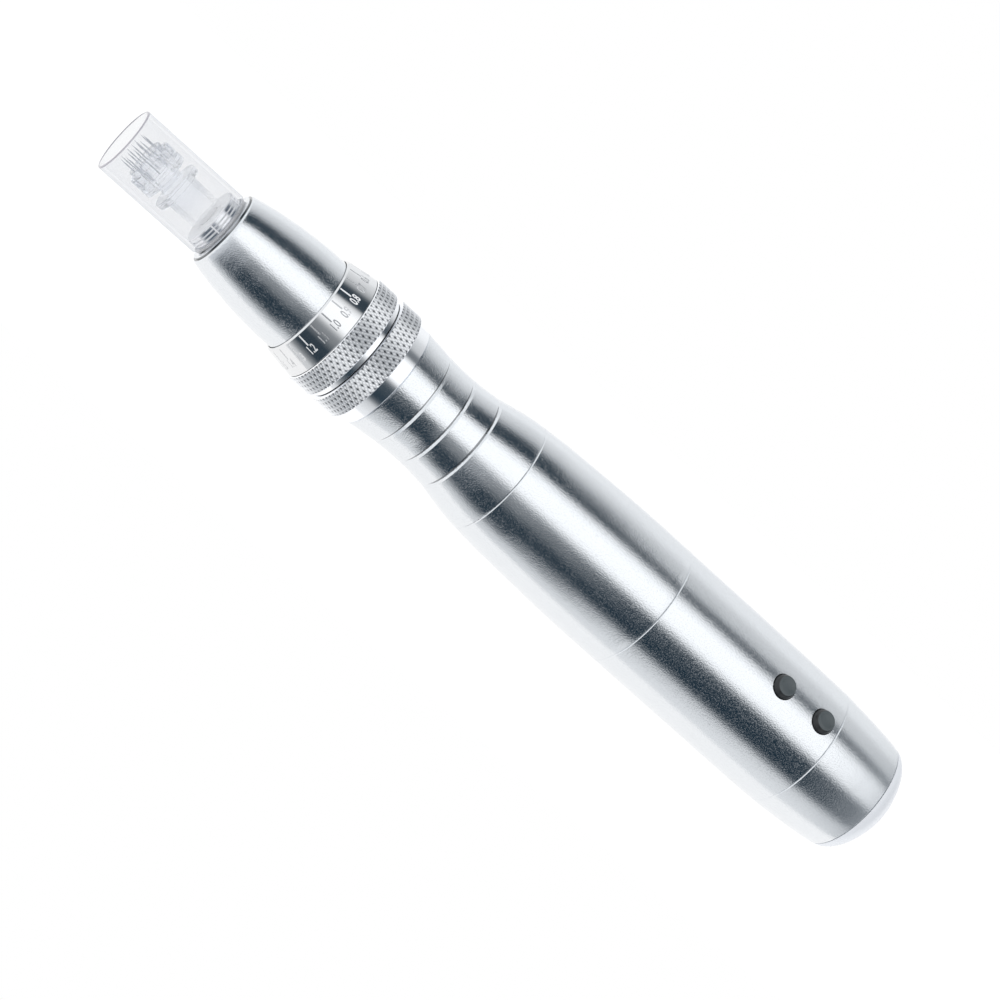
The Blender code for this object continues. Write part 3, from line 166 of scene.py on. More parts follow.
low = sky.add("ShaderNodeMapRange", {},
              {"Value": turn_of_way, "From Min": math.radians(20), "From Max": math.radians(34)})
light = blend(over(0.24, 0.32, 1), strips(NEEDLE_END), strips(TAIL_END))
light = blend(over(-0.06, -0.36, 0.85) * low, light, LOW_WALL)
light = blend(over(-0.45, -0.65, 0.95), light, FRONT_WALL)
light = blend(over(0.42, 0.68, 0.66), light, REAR_WALL)
light = blend(over(0.74, 0.88, 0.8), light, REAR_FLAG)
glossy = sky.add("ShaderNodeLightPath", {}, {}, "Is Glossy Ray")
through = sky.add("ShaderNodeLightPath", {}, {}, "Is Transmission Ray")
seen = 1 - glossy * (1 - through)
lit = sky.add("ShaderNodeBackground", {}, {"Color": light, "Strength": METAL_LIGHT})
white = sky.add("ShaderNodeBackground", {}, {"Color": (1, 1, 1, 1), "Strength": 1.0})
sky.add("ShaderNodeOutputWorld", {},
        {"Surface": sky.add("ShaderNodeMixShader", {}, {0: seen, 1: lit, 2: white})})

bpy.ops.mesh.primitive_plane_add(size=1)
floor = bpy.context.object
floor.name = "floor"
floor.scale = (FLOOR_LENGTH, FLOOR_WIDTH, 1)
bpy.ops.object.transform_apply()
paper = bpy.data.materials.new("white_paper")
paper.use_nodes = True
sheet = Graph(paper.node_tree)
sheet.add("ShaderNodeOutputMaterial", {}, {"Surface": sheet.add("ShaderNodeBsdfPrincipled", {}, {
    "Base Color": (0.12, 0.12, 0.12, 1), "Roughness": 1.0, "Specular IOR Level": 0.0,
    "Emission Color": (1, 1, 1, 1), "Emission Strength": FLOOR_GLOW})})
floor.data.materials.append(paper)


# Cartridge tube. A clear moulded tube, open at the rim, through which the needles come out. It
# is pressed on the plug behind it.
CREASE = math.radians(28)
WELD = 0.002 * MM


def finish(name, values, paint):
    """A surface finish. Paint takes the graph and gives the inputs that change over the piece."""
    made = bpy.data.materials.new(name)
    made.use_nodes = True
    graph = Graph(made.node_tree)
    shader = graph.add("ShaderNodeBsdfPrincipled", {}, {**values, **paint(graph)})
    graph.add("ShaderNodeOutputMaterial", {}, {"Surface": shader})
    return made


def grain(graph, size, stretch=(1, 1, 1)):
    """Noise between 0 and 1 with features of a size in mm, drawn out where stretch is low."""
    place = graph.add("ShaderNodeTexCoord", {}, {}, "Object")
    spot = graph.add("ShaderNodeMapping", {}, {"Vector": place, "Scale": stretch})
    return graph.add("ShaderNodeTexNoise", {}, {"Vector": spot, "Scale": 1 / (size * MM), "Detail": 2.0})


def between(graph, share, low, high):
    """A value or colour that goes from low to high by a share."""
    if isinstance(low, tuple):
        return graph.add("ShaderNodeMix", {"data_type": "RGBA"}, {0: share, 6: (*low, 1), 7: (*high, 1)}, 2)
    return share * (high - low) + low


def relief(graph, height, depth, **under):
    """The surface's normal under a height map whose depth is in mm."""
    return graph.add("ShaderNodeBump", {}, {"Height": height, "Strength": 1.0, "Distance": depth * MM, **under})


def on_axis(x):
    """The point of the pen's axis that lies x mm behind the rim."""
    return Vector((RIM_X + x * MM, 0, AXIS_HEIGHT))


def turned(name, corners, sides=128, foot=None):
    """A piece turned about the pen's axis, from the corners of its section: mm behind the rim, mm
    of radius. With a foot it stands upright on that point. A section from radius 0 to 0 is solid."""
    solid = corners[0][1] == 0
    ring = corners[1:-1] if solid else [*corners, corners[0]]
    upright = foot is not None
    centre = [foot + Vector((0, 0, x * MM)) if upright else on_axis(x) for x, radius in ring]
    bpy.ops.mesh.primitive_circle_add(vertices=sides, radius=ring[0][1] * MM, location=centre[0],
                                      rotation=(0, 0 if upright else math.pi / 2, 0))
    piece = bpy.context.object
    piece.name = piece.data.name = name
    bpy.ops.object.transform_apply()
    bpy.ops.object.mode_set(mode="EDIT")
    bpy.ops.mesh.select_all(action="SELECT")
    for k in range(1, len(ring)):
        grow = ring[k][1] / ring[k - 1][1]
        bpy.ops.mesh.extrude_region_move(TRANSFORM_OT_translate={"value": centre[k] - centre[k - 1]})
        bpy.ops.transform.resize(value=(grow, grow, 1) if upright else (1, grow, grow),
                                 center_override=centre[k])
    bpy.ops.mesh.select_all(action="SELECT")
    bpy.ops.mesh.remove_doubles(threshold=WELD)
    bpy.ops.mesh.fill_holes(sides=0)
    bpy.ops.mesh.select_all(action="SELECT")
    bpy.ops.mesh.normals_make_consistent(inside=False)
    bpy.ops.object.mode_set(mode="OBJECT")
    bpy.ops.object.shade_smooth_by_angle(angle=CREASE)
    return piece


def dress(piece, material, slot, body, *nodes):
    """Gives a finished piece its material, the body it rides on and the nodes it stands for. Its slot is not
    used.
    """
    piece.data.materials.clear()
    piece.data.materials.append(material)
    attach(piece, body)
    if nodes:
        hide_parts(*nodes)


def clear_paint(graph):
    """Flow lines of a clear moulding."""
    flow = grain(graph, 3, (0.3, 1, 1))
    return {"Roughness": between(graph, flow, 0.015, 0.05), "Normal": relief(graph, flow, 0.02)}


def ramp(graph, value, start, end):
    """A share from 0 to 1 as a value goes from one amount to another."""
    return graph.add("ShaderNodeMapRange", {}, {"Value": value, "From Min": start, "From Max": end})


def length_at(graph):
    """How far along the pen a point of the surface lies, in metres."""
    return graph.part(graph.add("ShaderNodeTexCoord", {}, {}, "Object"), "X")


def radius_at(graph):
    """How far out from the pen's axis a point of the surface lies, in metres."""
    place = graph.add("ShaderNodeTexCoord", {}, {}, "Object")
    out = graph.add("ShaderNodeMapping", {},
                    {"Vector": place, "Location": (0, 0, -AXIS_HEIGHT), "Scale": (0, 1, 1)})
    return graph.add("ShaderNodeVectorMath", {"operation": "LENGTH"}, {0: out}, 1)


def thin_paint(graph):
    """A thin clear wall, seen most at its edges and at the rim."""
    edge = graph.add("ShaderNodeLayerWeight", {}, {"Blend": 0.5}, "Facing")
    outside = ramp(graph, radius_at(graph), 5.5 * MM, 5.7 * MM)
    rim = ramp(graph, length_at(graph), RIM_X + 0.24 * MM, RIM_X + 0.16 * MM)
    return {**clear_paint(graph), "Base Color": between(graph, rim, (0.47, 0.52, 0.61), (0.42, 0.41, 0.46)),
            "Alpha": outside * (edge * edge * edge * 0.46 + rim * 0.95) + 0.085}


thin_clear = finish("clear_tube", {"IOR": 1.5}, thin_paint)
tube = turned("cartridge_tube", [(0.06, 5.26), (0, 5.36), (0, 5.72), (0.06, 5.84), (0.2, 5.9), (20.1, 5.9),
                                 (20.2, 5.8), (20.2, 5.15), (0.2, 5.15)])
dress(tube, thin_clear, "clear_polycarbonate", "cartridge", "cartridge_shell")


# Cartridge plug. The clear rear of the cartridge: a grooved and notched plug in the tube and a
# spigot with two keys, which slides into the nose.
def shaped(piece, tool, operation="DIFFERENCE"):
    """Cuts a tool out of a piece, or joins it on, and takes the tool away."""
    change = piece.modifiers.new("change", "BOOLEAN")
    change.operation, change.solver, change.object = operation, "EXACT", tool
    bpy.ops.object.select_all(action="DESELECT")
    bpy.context.view_layer.objects.active = piece
    piece.select_set(True)
    bpy.ops.object.modifier_apply(modifier=change.name)
    bpy.data.objects.remove(tool)
    bpy.ops.object.shade_smooth_by_angle(angle=CREASE)


def block(start, end, low, high, width, angle):
    """A cutter from start to end mm behind the rim, low to high mm out from the axis, at an angle
    from +Z towards -Y."""
    bpy.ops.mesh.primitive_cube_add(size=1, scale=((end - start) * MM, width * MM, (high - low) * MM),
                                    location=((start + end) / 2 * MM, 0, (low + high) / 2 * MM))
    tool = bpy.context.object
    bpy.ops.object.transform_apply()
    tool.rotation_euler.x = angle
    tool.location = on_axis(0)
    bpy.ops.object.transform_apply()
    return tool


NOTCHES, NOTCH = 4, (14, 18.6, 4.74, 7, 1.8)
RIBS, RIB, RIB_TURN = 5, (18.4, 20.4, 4.7, 5.12, 0.24), math.radians(38.8)
KEY = (22, 26, 4.4, 5.6, 1.6)


def plug_paint(graph):
    """White in the front face, the grooves and the ribs, glossy on the lands between, and clear behind."""
    x, radius = length_at(graph), radius_at(graph)
    spigot = ramp(graph, x, RIM_X + 20.6 * MM, RIM_X + 20.9 * MM)
    land = ramp(graph, radius, 4.9 * MM, 5.0 * MM) * ramp(graph, radius, 5.1 * MM, 5.07 * MM) * ramp(
        graph, x, RIM_X + 18.3 * MM, RIM_X + 18.75 * MM) * (1 - spigot)
    return {**clear_paint(graph), "Metallic": land, "Alpha": between(graph, spigot, 0.94, 0.5)}


cut_clear = finish("clear_plug", {"Base Color": (0.96, 0.965, 0.98, 1), "IOR": 1.5}, plug_paint)
plug = turned("cartridge_plug", [(18.25, 1.9), (18.25, 4.95), (18.35, 5.05), (19.05, 5.05), (19.05, 4.8),
                                 (19.3, 4.8), (19.3, 5.05), (19.65, 5.05), (19.65, 4.8), (19.95, 4.8),
                                 (19.95, 5.05), (20.5, 5.05), (20.9, 5.0), (32.8, 5.0), (33.0, 4.8),
                                 (33.0, 3.9), (20.9, 3.9), (20.9, 1.9)], 96)
for k in range(NOTCHES):
    shaped(plug, block(*NOTCH, math.tau * (k + 0.5) / NOTCHES))
for k in range(RIBS):
    shaped(plug, block(*RIB, RIB_TURN + math.tau * k / RIBS), "UNION")
for side in (1, -1):
    shaped(plug, block(*KEY, math.pi / 2 * side), "UNION")
dress(plug, cut_clear, "clear_polycarbonate", "cartridge", "cartridge_base")


# Seal. A soft silicone ring, round in section, squeezed between the tube's end and the nose's face
# when the cartridge is pushed in.
silicone = finish("clear_silicone", {"Base Color": (0.7, 0.71, 0.74, 1), "IOR": 1.41,
                                     "Transmission Weight": 0.5, "Alpha": 0.6},
                  lambda graph: {"Roughness": between(graph, grain(graph, 0.4), 0.2, 0.4)})
SEAL_PLACE, SEAL_RADIUS, SEAL_WIRE, SEAL_SIDES = 20.55, 5.36, 0.26, 16
seal = turned("seal_ring", [(SEAL_PLACE - SEAL_WIRE * math.cos(math.tau * k / SEAL_SIDES),
                             SEAL_RADIUS + SEAL_WIRE * math.sin(math.tau * k / SEAL_SIDES))
                            for k in range(SEAL_SIDES)], 96)
dress(seal, silicone, "clear_silicone", "cartridge", "cartridge_seal")


# Needle plunger. A clear moulding that slides in the cartridge: a slotted head that holds the needles,
# a disc and a thick body. Its stem goes through the plug, and the spring pushes the stem's tail disc back.
def plunger_paint(graph):
    """Clear, and ever less seen towards the thick body's end at the plug."""
    end = ramp(graph, length_at(graph), RIM_X + 14 * MM, RIM_X + 18 * MM)
    return {**clear_paint(graph), "Alpha": between(graph, end, 0.65, 0.08)}


clear = finish("clear_polycarbonate", {"Base Color": (0.86, 0.885, 0.93, 1), "IOR": 1.5,
                                       "Transmission Weight": 1.0}, plunger_paint)
plunger = turned("needle_plunger", [(4.4, 0), (4.4, 0.5), (4.4, 3.3), (4.5, 3.4), (5.4, 3.4), (5.4, 4.1),
                                    (5.5, 4.2), (7.25, 4.2), (7.25, 3.6), (7.65, 3.6), (7.65, 4.2), (9.0, 4.2),
                                    (9.1, 4.1), (9.1, 2.2), (10.8, 2.2), (10.8, 4.2), (10.9, 4.3), (11.9, 4.3),
                                    (12.0, 4.2), (12.0, 3.0), (18.1, 3.0), (18.2, 2.9), (18.2, 0)], 96)
SLOTS, SLOT = 6, (3, 8.7, 3.4, 6, 0.9)
for k in range(SLOTS):
    shaped(plunger, block(*SLOT, math.tau * k / SLOTS))
dress(plunger, clear, "clear_polycarbonate", "needle_group", "needle_holder")
stem_clear = finish("clear_stem", {"Base Color": (0.96, 0.965, 0.98, 1), "IOR": 1.5, "Alpha": 0.9}, clear_paint)
stem = turned("plunger_stem", [(18.22, 0), (18.22, 1.8), (31.0, 1.8), (31.0, 3.2), (31.9, 3.2), (32.0, 3.1),
                               (32.0, 0)], 96)
dress(stem, stem_clear, "clear_polycarbonate", "needle_group")


# Needles. Twelve steel wires ground to a point, glued into the plunger's head: a ring of nine round a
# ring of three. Each stands where its own node stands.
steel = finish("needle_steel", {"Base Color": (0.8, 0.81, 0.83, 1), "Metallic": 1.0},
               lambda graph: {"Roughness": between(graph, grain(graph, 0.05, (0.1, 1, 1)), 0.12, 0.3)})
first_needle = turned("needle_pin", [(1.75, 0), (1.75, 0.01), (2.2, 0.05), (2.9, 0.11), (7.4, 0.11),
                                     (7.4, 0)], 14)
NEEDLES = 12
for number in range(1, NEEDLES + 1):
    low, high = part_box(f"needle_{number:02d}")
    needle = first_needle.copy()
    needle.data = first_needle.data.copy()
    needle.name = needle.data.name = f"needle_pin_{number:02d}"
    bpy.context.collection.objects.link(needle)
    bpy.ops.object.select_all(action="DESELECT")
    bpy.context.view_layer.objects.active = needle
    needle.select_set(True)
    needle.location = (0, (low[1] + high[1]) / 2, (low[2] + high[2]) / 2 - AXIS_HEIGHT)
    bpy.ops.object.transform_apply()
    dress(needle, steel, "needle_steel", "needle_group", f"needle_{number:02d}")
bpy.data.objects.remove(first_needle)


# Cartridge spring. Five turns of fine steel wire round the plunger's stem, between the plug's web and
# the stem's tail disc.
spring_steel = finish("spring_steel", {"Base Color": (0.55, 0.55, 0.56, 1), "Metallic": 1.0},
                      lambda graph: {"Roughness": between(graph, grain(graph, 0.1), 0.18, 0.34)})
COIL_START, COIL_END, COIL_RADIUS, COIL_WIRE, COIL_TURNS, COIL_STEPS = 23.69, 28.43, 2.85, 0.25, 5, 180
bpy.ops.mesh.primitive_circle_add(vertices=12, radius=COIL_WIRE * MM, location=(0, 0, COIL_RADIUS * MM),
                                  rotation=(math.pi / 2, 0, 0))
coil = bpy.context.object
coil.name = coil.data.name = "cartridge_coil"
bpy.ops.object.transform_apply()
wind = coil.modifiers.new("wind", "SCREW")
wind.axis, wind.angle, wind.screw_offset = "X", math.tau * COIL_TURNS, (COIL_END - COIL_START) * MM
wind.steps = wind.render_steps = COIL_STEPS
bpy.ops.object.modifier_apply(modifier=wind.name)
coil.location = on_axis(COIL_START)
bpy.ops.object.transform_apply()
bpy.ops.object.mode_set(mode="EDIT")
bpy.ops.mesh.select_all(action="SELECT")
bpy.ops.mesh.remove_doubles(threshold=WELD)
bpy.ops.mesh.fill_holes(sides=0)
bpy.ops.mesh.select_all(action="SELECT")
bpy.ops.mesh.normals_make_consistent(inside=False)
bpy.ops.object.mode_set(mode="OBJECT")
bpy.ops.object.shade_smooth_by_angle(angle=math.radians(40))
dress(coil, spring_steel, "spring_steel", "return_spring", "cartridge_spring")


# Nose cone. Turned from aluminium and blasted. The cartridge's spigot and its keys slide into its
# front, and the tail has the pin's winding track outside.
def curved(corners, step=0.7):
    """Corners of an outline joined by a smooth line that never overshoots them."""
    slopes = [(b[1] - a[1]) / (b[0] - a[0]) for a, b in zip(corners, corners[1:])]
    lean = [slopes[0], *(0 if a * b <= 0 else 2 * a * b / (a + b) for a, b in zip(slopes, slopes[1:])),
            slopes[-1]]
    line = []
    for k, ((x0, r0), (x1, r1)) in enumerate(zip(corners, corners[1:])):
        span = x1 - x0
        count = max(1, round(span / step))
        for j in range(count):
            t = j / count
            line.append((x0 + span * t,
                         r0 * (1 + 2 * t) * (1 - t) ** 2 + r1 * t * t * (3 - 2 * t)
                         + span * (lean[k] * t * (1 - t) ** 2 - lean[k + 1] * t * t * (1 - t))))
    return [*line, corners[-1]]


def blasted_paint(graph, **under):
    """Fine pits of blasted metal, dull in some places and glossy in others."""
    pits, cloud = grain(graph, 0.22), grain(graph, 6)
    return {"Base Color": between(graph, cloud, (0.79, 0.81, 0.835), (0.82, 0.84, 0.86)),
            "Metallic": 1 - ramp(graph, grain(graph, 0.22), 0.48, 0.62) * 0.05,
            "Roughness": between(graph, ramp(graph, grain(graph, 0.22), 0.44, 0.66), 0.06, 0.24),
            "Normal": relief(graph, pits, 0.022, **under)}


# The first tone is painted shade for the dark lines in the grooves and at the nose's lip, the second is the
# metal beside them. The nose's line lies from 21.0 to 21.3 mm.
PAINTED_SHADE_TONE, METAL_TONE, NOSE_SHADE_LINE = (0.3, 0.31, 0.32), (0.805, 0.825, 0.848), (21.0, 21.3)
KEYWAY = (18, 26.1, 4.5, 5.7, 1.8)


def shade_lined(graph, paint, *lines):
    """A paint with a line of painted shade, a dark base colour, round the piece from each start to its end, mm
    behind the rim.
    """
    unshaded = 1
    for start, end in lines:
        line = graph.add("ShaderNodeMath", {"operation": "COMPARE"},
                         {0: length_at(graph), 1: RIM_X + (start + end) / 2 * MM, 2: (end - start) / 2 * MM})
        unshaded = unshaded * (1 - line)
    return {**paint, "Base Color": between(graph, unshaded, PAINTED_SHADE_TONE, METAL_TONE)}


nose = turned("nose", [(20.9, 6.2), (21.0, 6.45), (21.02, 6.36), (21.24, 6.4), (21.26, 6.72),
                       *curved([(21.36, 6.86), (21.6, 7.03), (22.6, 7.25), (23.5, 7.49), (24.5, 7.66),
                                (25.5, 7.86), (26.4, 8.02), (28.4, 8.28), (30.3, 8.55), (32.3, 8.73),
                                (34.2, 8.88), (36, 8.99), (38.1, 9.02), (45.6, 9.02)]),
                       (45.7, 8.92), (45.7, 7.75), (31.2, 7.75), (31.2, 5.1), (21.0, 5.1), (20.9, 5.2)])
for side in (1, -1):
    shaped(nose, block(*KEYWAY, math.pi / 2 * side))
# The nose's lip gets a painted shade line, a dark base colour in its small groove.
blasted_nose = finish("blasted_nose", {}, lambda graph: shade_lined(graph, blasted_paint(graph), NOSE_SHADE_LINE))
dress(nose, blasted_nose, "blasted_aluminium", "nose", "nose_cone")


# Depth scale. A polished ring pressed into the front grip, with a line and a number for each
# tenth of a millimetre from 0.3 to 2.5 marked on it by laser.
def polished_paint(graph):
    """Metal polished on a lathe, with fine rings left in it."""
    lines = grain(graph, 0.06, (1, 0.01, 0.01))
    return {"Base Color": between(graph, grain(graph, 5), (0.80, 0.805, 0.815), (0.84, 0.845, 0.85)),
            "Roughness": between(graph, lines, 0.07, 0.17), "Normal": relief(graph, lines, 0.0015)}


polished = finish("polished_aluminium", {"Metallic": 1.0}, polished_paint)
SCALE_START, SCALE_FRONT, SCALE_GROWTH = 39.76, 9.5, 0.83 / 5.32
scale_ring = turned("depth_scale_ring", [(39.64, 9.12), (39.64, 9.3), (39.92, 9.53), (45.15, 10.34),
                                         (45.23, 10.28), (45.23, 9.5), (46.95, 9.5), (47.05, 9.4),
                                         (47.05, 9.12)], 160)
dress(scale_ring, polished, "polished_aluminium", "depth_ring", "scale_ring")

MARK_STEP, MARK_START, MARK_LENGTH, MARK_WIDTH = 15.652, 40.05, 2.1, 0.25
NUMBER_FOOT, NUMBER_SIZE, NUMBER_SQUEEZE, NUMBER_BOLD = 43.65, 2.15, 0.58, 0.045
FIRST_MARK, LAST_MARK, ONE_MARK_TURN = 3, 25, -2.7
MARK_HEIGHT, MARK_SINK, BURR_LEAN = 0.03, 0.007, math.radians(22)


def wrapped(piece, angle, start):
    """Bends a flat piece round the scale's cone. Its own X runs against the angle and its Y to the front."""
    for vertex in piece.data.vertices:
        x = start - vertex.co.y / MM
        radius = (SCALE_FRONT + (x - SCALE_START) * SCALE_GROWTH) * MM + vertex.co.z
        turn = angle - vertex.co.x / radius
        vertex.co = on_axis(x) + (facing * math.cos(turn) + across * math.sin(turn)) * radius


marks = []
for tenth in range(FIRST_MARK, LAST_MARK + 1):
    angle = math.radians(ONE_MARK_TURN + (tenth - 10) * MARK_STEP)
    bpy.ops.mesh.primitive_cube_add(size=1, scale=(MARK_WIDTH * MM, MARK_LENGTH * MM, MARK_HEIGHT * MM),
                                    location=(0, -MARK_LENGTH / 2 * MM, -MARK_SINK * MM))
    bpy.ops.object.transform_apply()
    wrapped(bpy.context.object, angle, MARK_START)
    marks.append(bpy.context.object)
    bpy.ops.object.text_add()
    number = bpy.context.object
    number.data.body = f"{tenth / 10:.1f}"
    number.data.size, number.data.align_x, number.data.resolution_u = NUMBER_SIZE * MM, "CENTER", 4
    number.data.extrude, number.data.offset = MARK_HEIGHT / 2 * MM, NUMBER_BOLD * MM
    bpy.ops.object.convert(target="MESH")
    number = bpy.context.object
    for vertex in number.data.vertices:
        vertex.co.x *= NUMBER_SQUEEZE
        vertex.co.z -= MARK_SINK * MM
    wrapped(number, angle, NUMBER_FOOT)
    marks.append(number)
bpy.ops.object.select_all(action="DESELECT")
for mark in marks:
    mark.select_set(True)
bpy.context.view_layer.objects.active = marks[0]
bpy.ops.object.join()
scale_marks = bpy.context.object
scale_marks.name = scale_marks.data.name = "depth_scale_marks"
bpy.ops.object.mode_set(mode="EDIT")
bpy.ops.mesh.select_all(action="SELECT")
bpy.ops.mesh.remove_doubles(threshold=WELD / 4)
bpy.ops.mesh.normals_make_consistent(inside=False)
bpy.ops.object.mode_set(mode="OBJECT")
bpy.ops.object.shade_smooth_by_angle(angle=CREASE)


def laser_paint(graph):
    """A mark is a burr that leans round the axis. It shines where the ring is dark, and is dark where
    the ring shines."""
    surface = graph.add("ShaderNodeNewGeometry", {}, {}, "Normal")
    lean = graph.add("ShaderNodeVectorRotate", {"rotation_type": "X_AXIS"},
                     {"Vector": surface, "Angle": BURR_LEAN})
    burn = grain(graph, 0.08)
    return {"Base Color": between(graph, burn, (0.74, 0.75, 0.77), (0.84, 0.85, 0.87)),
            "Roughness": between(graph, burn, 0.22, 0.34), "Normal": relief(graph, burn, 0.001, Normal=lean)}


laser = finish("laser_mark", {"Metallic": 0.7}, laser_paint)
dress(scale_marks, laser, "polished_aluminium", "depth_ring")


# Grips. Two steel rings with a diamond knurl. The front one turns with the scale and has a narrow hub
# behind it; the rear one is fixed and has a plain band behind it.
KNURL_TEETH, KNURL_HALF_ROWS, KNURL_RADIUS, KNURL_DEPTH = 66, 8, 10.65, 0.23
KNURL_RIM, RIM_LOW, RIM_HIGH, RIM_BEVEL = 0.2, 10.4, 10.6, 0.12
# The radii at which the pits' painted shade and the crests' painted glint come in.
PIT_FLOOR, PIT_EDGE, CREST_FOOT, CREST_TOP = 10.45, 10.56, 10.6, 10.64
FRONT_KNURL, REAR_KNURL = (45.28, 49.5), (50.55, 54.85)


def knurled_paint(start, end):
    """Bright crests with a painted glint, made diffuse white, crossed round pits with painted shade, from start
    to end mm behind the rim. Plain metal beyond.
    """
    def paint(graph):
        x, radius = length_at(graph), radius_at(graph)
        cut = ramp(graph, x, RIM_X + (start + 0.18) * MM, RIM_X + (start + 0.22) * MM) * ramp(
            graph, x, RIM_X + (end - 0.18) * MM, RIM_X + (end - 0.22) * MM)
        # Painted shade: the pits' base colour goes dark.
        pit_shade = cut * ramp(graph, radius, PIT_EDGE * MM, PIT_FLOOR * MM)
        # Painted glint: the crests lose most of their metal and turn diffuse white.
        crest_glint = cut * ramp(graph, radius, CREST_FOOT * MM, CREST_TOP * MM)
        return {"Base Color": between(graph, pit_shade, (0.97, 0.98, 1.0), (0.03, 0.035, 0.045)),
                "Metallic": 1 - crest_glint * 0.8,
                "Roughness": between(graph, cut, 0.12, 0.4) + grain(graph, 0.1) * 0.06}
    return paint


def knurled_ring(name, start, end, tail):
    """A ring with plain chamfered rims, crossed crests with pits between them, and a plain tail."""
    first, pitch = start + KNURL_RIM, (end - start - KNURL_RIM * 2) / KNURL_HALF_ROWS
    columns = KNURL_TEETH * 4
    rows = [(first + pitch * k, KNURL_RADIUS) for k in range(KNURL_HALF_ROWS + 1)]
    ring = turned(name, [(start, RIM_LOW), (start + RIM_BEVEL, RIM_HIGH), *rows,
                         (end - RIM_BEVEL, RIM_HIGH), (end, RIM_LOW), *tail], columns)
    bpy.ops.object.mode_set(mode="EDIT")
    for drop in (0.5, 1):
        bpy.ops.mesh.select_all(action="DESELECT")
        bpy.ops.object.mode_set(mode="OBJECT")
        for vertex in ring.data.vertices:
            row = ((vertex.co.x - RIM_X) / MM - first) / pitch
            radius = math.hypot(vertex.co.y, vertex.co.z - AXIS_HEIGHT) / MM
            turn = round(math.atan2(vertex.co.y, vertex.co.z - AXIS_HEIGHT) / math.tau * columns)
            j = round(row)
            if 0 <= j <= KNURL_HALF_ROWS and abs(row - j) < 0.01 and radius > KNURL_RADIUS - 0.005:
                u, v = (turn + j) % 4, (turn - j) % 4
                fall = 1 - max(min(u, 4 - u), min(v, 4 - v)) / 2
                vertex.select = abs(fall - drop) < 0.01
        bpy.ops.object.mode_set(mode="EDIT")
        grow = (KNURL_RADIUS - KNURL_DEPTH * drop) / KNURL_RADIUS
        bpy.ops.transform.resize(value=(1, grow, grow), center_override=on_axis(0))
    bpy.ops.mesh.select_all(action="DESELECT")
    bpy.ops.object.mode_set(mode="OBJECT")
    for face in ring.data.polygons:
        x = (face.center.x - RIM_X) / MM
        face.select = first < x < first + pitch * KNURL_HALF_ROWS and face.normal.yz.length > 0.5
    bpy.ops.object.mode_set(mode="EDIT")
    bpy.ops.mesh.quads_convert_to_tris(quad_method="SHORTEST_DIAGONAL")
    bpy.ops.object.mode_set(mode="OBJECT")
    bpy.ops.object.shade_smooth_by_angle(angle=math.radians(15))
    return ring


front_grip = knurled_ring("front_grip", *FRONT_KNURL, [(49.55, 9.9), (50.4, 9.9), (50.45, 9.85), (50.45, 8.95),
                                                       (49.2, 8.95), (49.2, 9.6), (45.28, 9.6)])
dress(front_grip, finish("knurled_steel_front", {}, knurled_paint(*FRONT_KNURL)), "knurled_steel",
      "depth_ring", "depth_knob")
rear_grip = knurled_ring("rear_grip", *REAR_KNURL, [(54.9, 9.88), (57.22, 9.79), (57.34, 9.64), (57.34, 8.95),
                                                    (50.55, 8.95)])
dress(rear_grip, finish("knurled_steel_rear", {}, knurled_paint(*REAR_KNURL)), "knurled_steel",
      "handle", "grip_ring")


# Waist. The blasted front housing, turned to a waist with three fine ring grooves. A spigot at its
# rear goes into the motor barrel.
GROOVES, GROOVE_HALF, GROOVE_DEPTH = (62.89, 68.29, 73.7), 0.36, 0.32
GROOVE_FLOOR_START, GROOVE_FLOOR_END = GROOVE_HALF * 0.6, GROOVE_HALF * 0.3
LOWER_LEAN = 0.035


def grooved(corners):
    """The outline with the ring grooves cut in it, steep in front and slanted behind."""
    line = curved(corners)
    for place in GROOVES:
        before, after = (next(r0 + (r1 - r0) * (x - x0) / (x1 - x0)
                              for (x0, r0), (x1, r1) in zip(line, line[1:]) if x0 <= x <= x1)
                         for x in (place - GROOVE_HALF, place + GROOVE_HALF))
        cut = [(place - GROOVE_HALF, before), (place - GROOVE_FLOOR_START, before - GROOVE_DEPTH),
               (place - GROOVE_FLOOR_END, before - GROOVE_DEPTH), (place + GROOVE_HALF, after)]
        line = sorted([p for p in line if abs(p[0] - place) > GROOVE_HALF + 0.1] + cut)
    return line


def waist_paint(graph):
    """The blasted metal, with painted shade in front of each groove's slanted side. The waist's front half
    mirrors the studio as a straight tube does, and its lower side leans a little to the rear."""
    surface = graph.add("ShaderNodeNewGeometry", {}, {}, "Normal")
    lower = ramp(graph, graph.part(surface, "Y"), -0.1, -0.4)
    most = graph.add("ShaderNodeCombineXYZ", {}, {"X": lower * LOWER_LEAN, "Y": 1, "Z": 1})
    upright = graph.add("ShaderNodeVectorMath", {"operation": "MINIMUM"}, {0: surface, 1: most})
    # Painted shade: a dark base colour on each groove's steep front side and floor.
    return shade_lined(graph, blasted_paint(graph, Normal=upright),
                 *((place - GROOVE_HALF, place - GROOVE_FLOOR_END) for place in GROOVES))


waist_side = [(57.6, 9.68), (58.3, 9.6), (58.8, 9.5), (60.8, 9.34), (62.8, 9.1), (64.8, 8.99), (66.8, 8.93),
              (69.9, 9.01), (71.9, 9.18), (73.9, 9.39), (74.9, 9.61), (76.9, 10.03), (79, 10.44), (81, 10.74),
              (82.2, 10.86)]
waist = turned("waist", [(57.4, 8.1), (57.4, 9.46), *grooved(waist_side),
                         (82.33, 10.86), (82.33, 9.53), (87.2, 9.53), (87.35, 9.4), (87.35, 8.13),
                         (79.15, 8.13), (79.15, 7.63), (62.05, 7.63), (62.05, 8.1)])
dress(waist, finish("blasted_waist", {}, waist_paint), "blasted_aluminium", "handle", "front_housing")


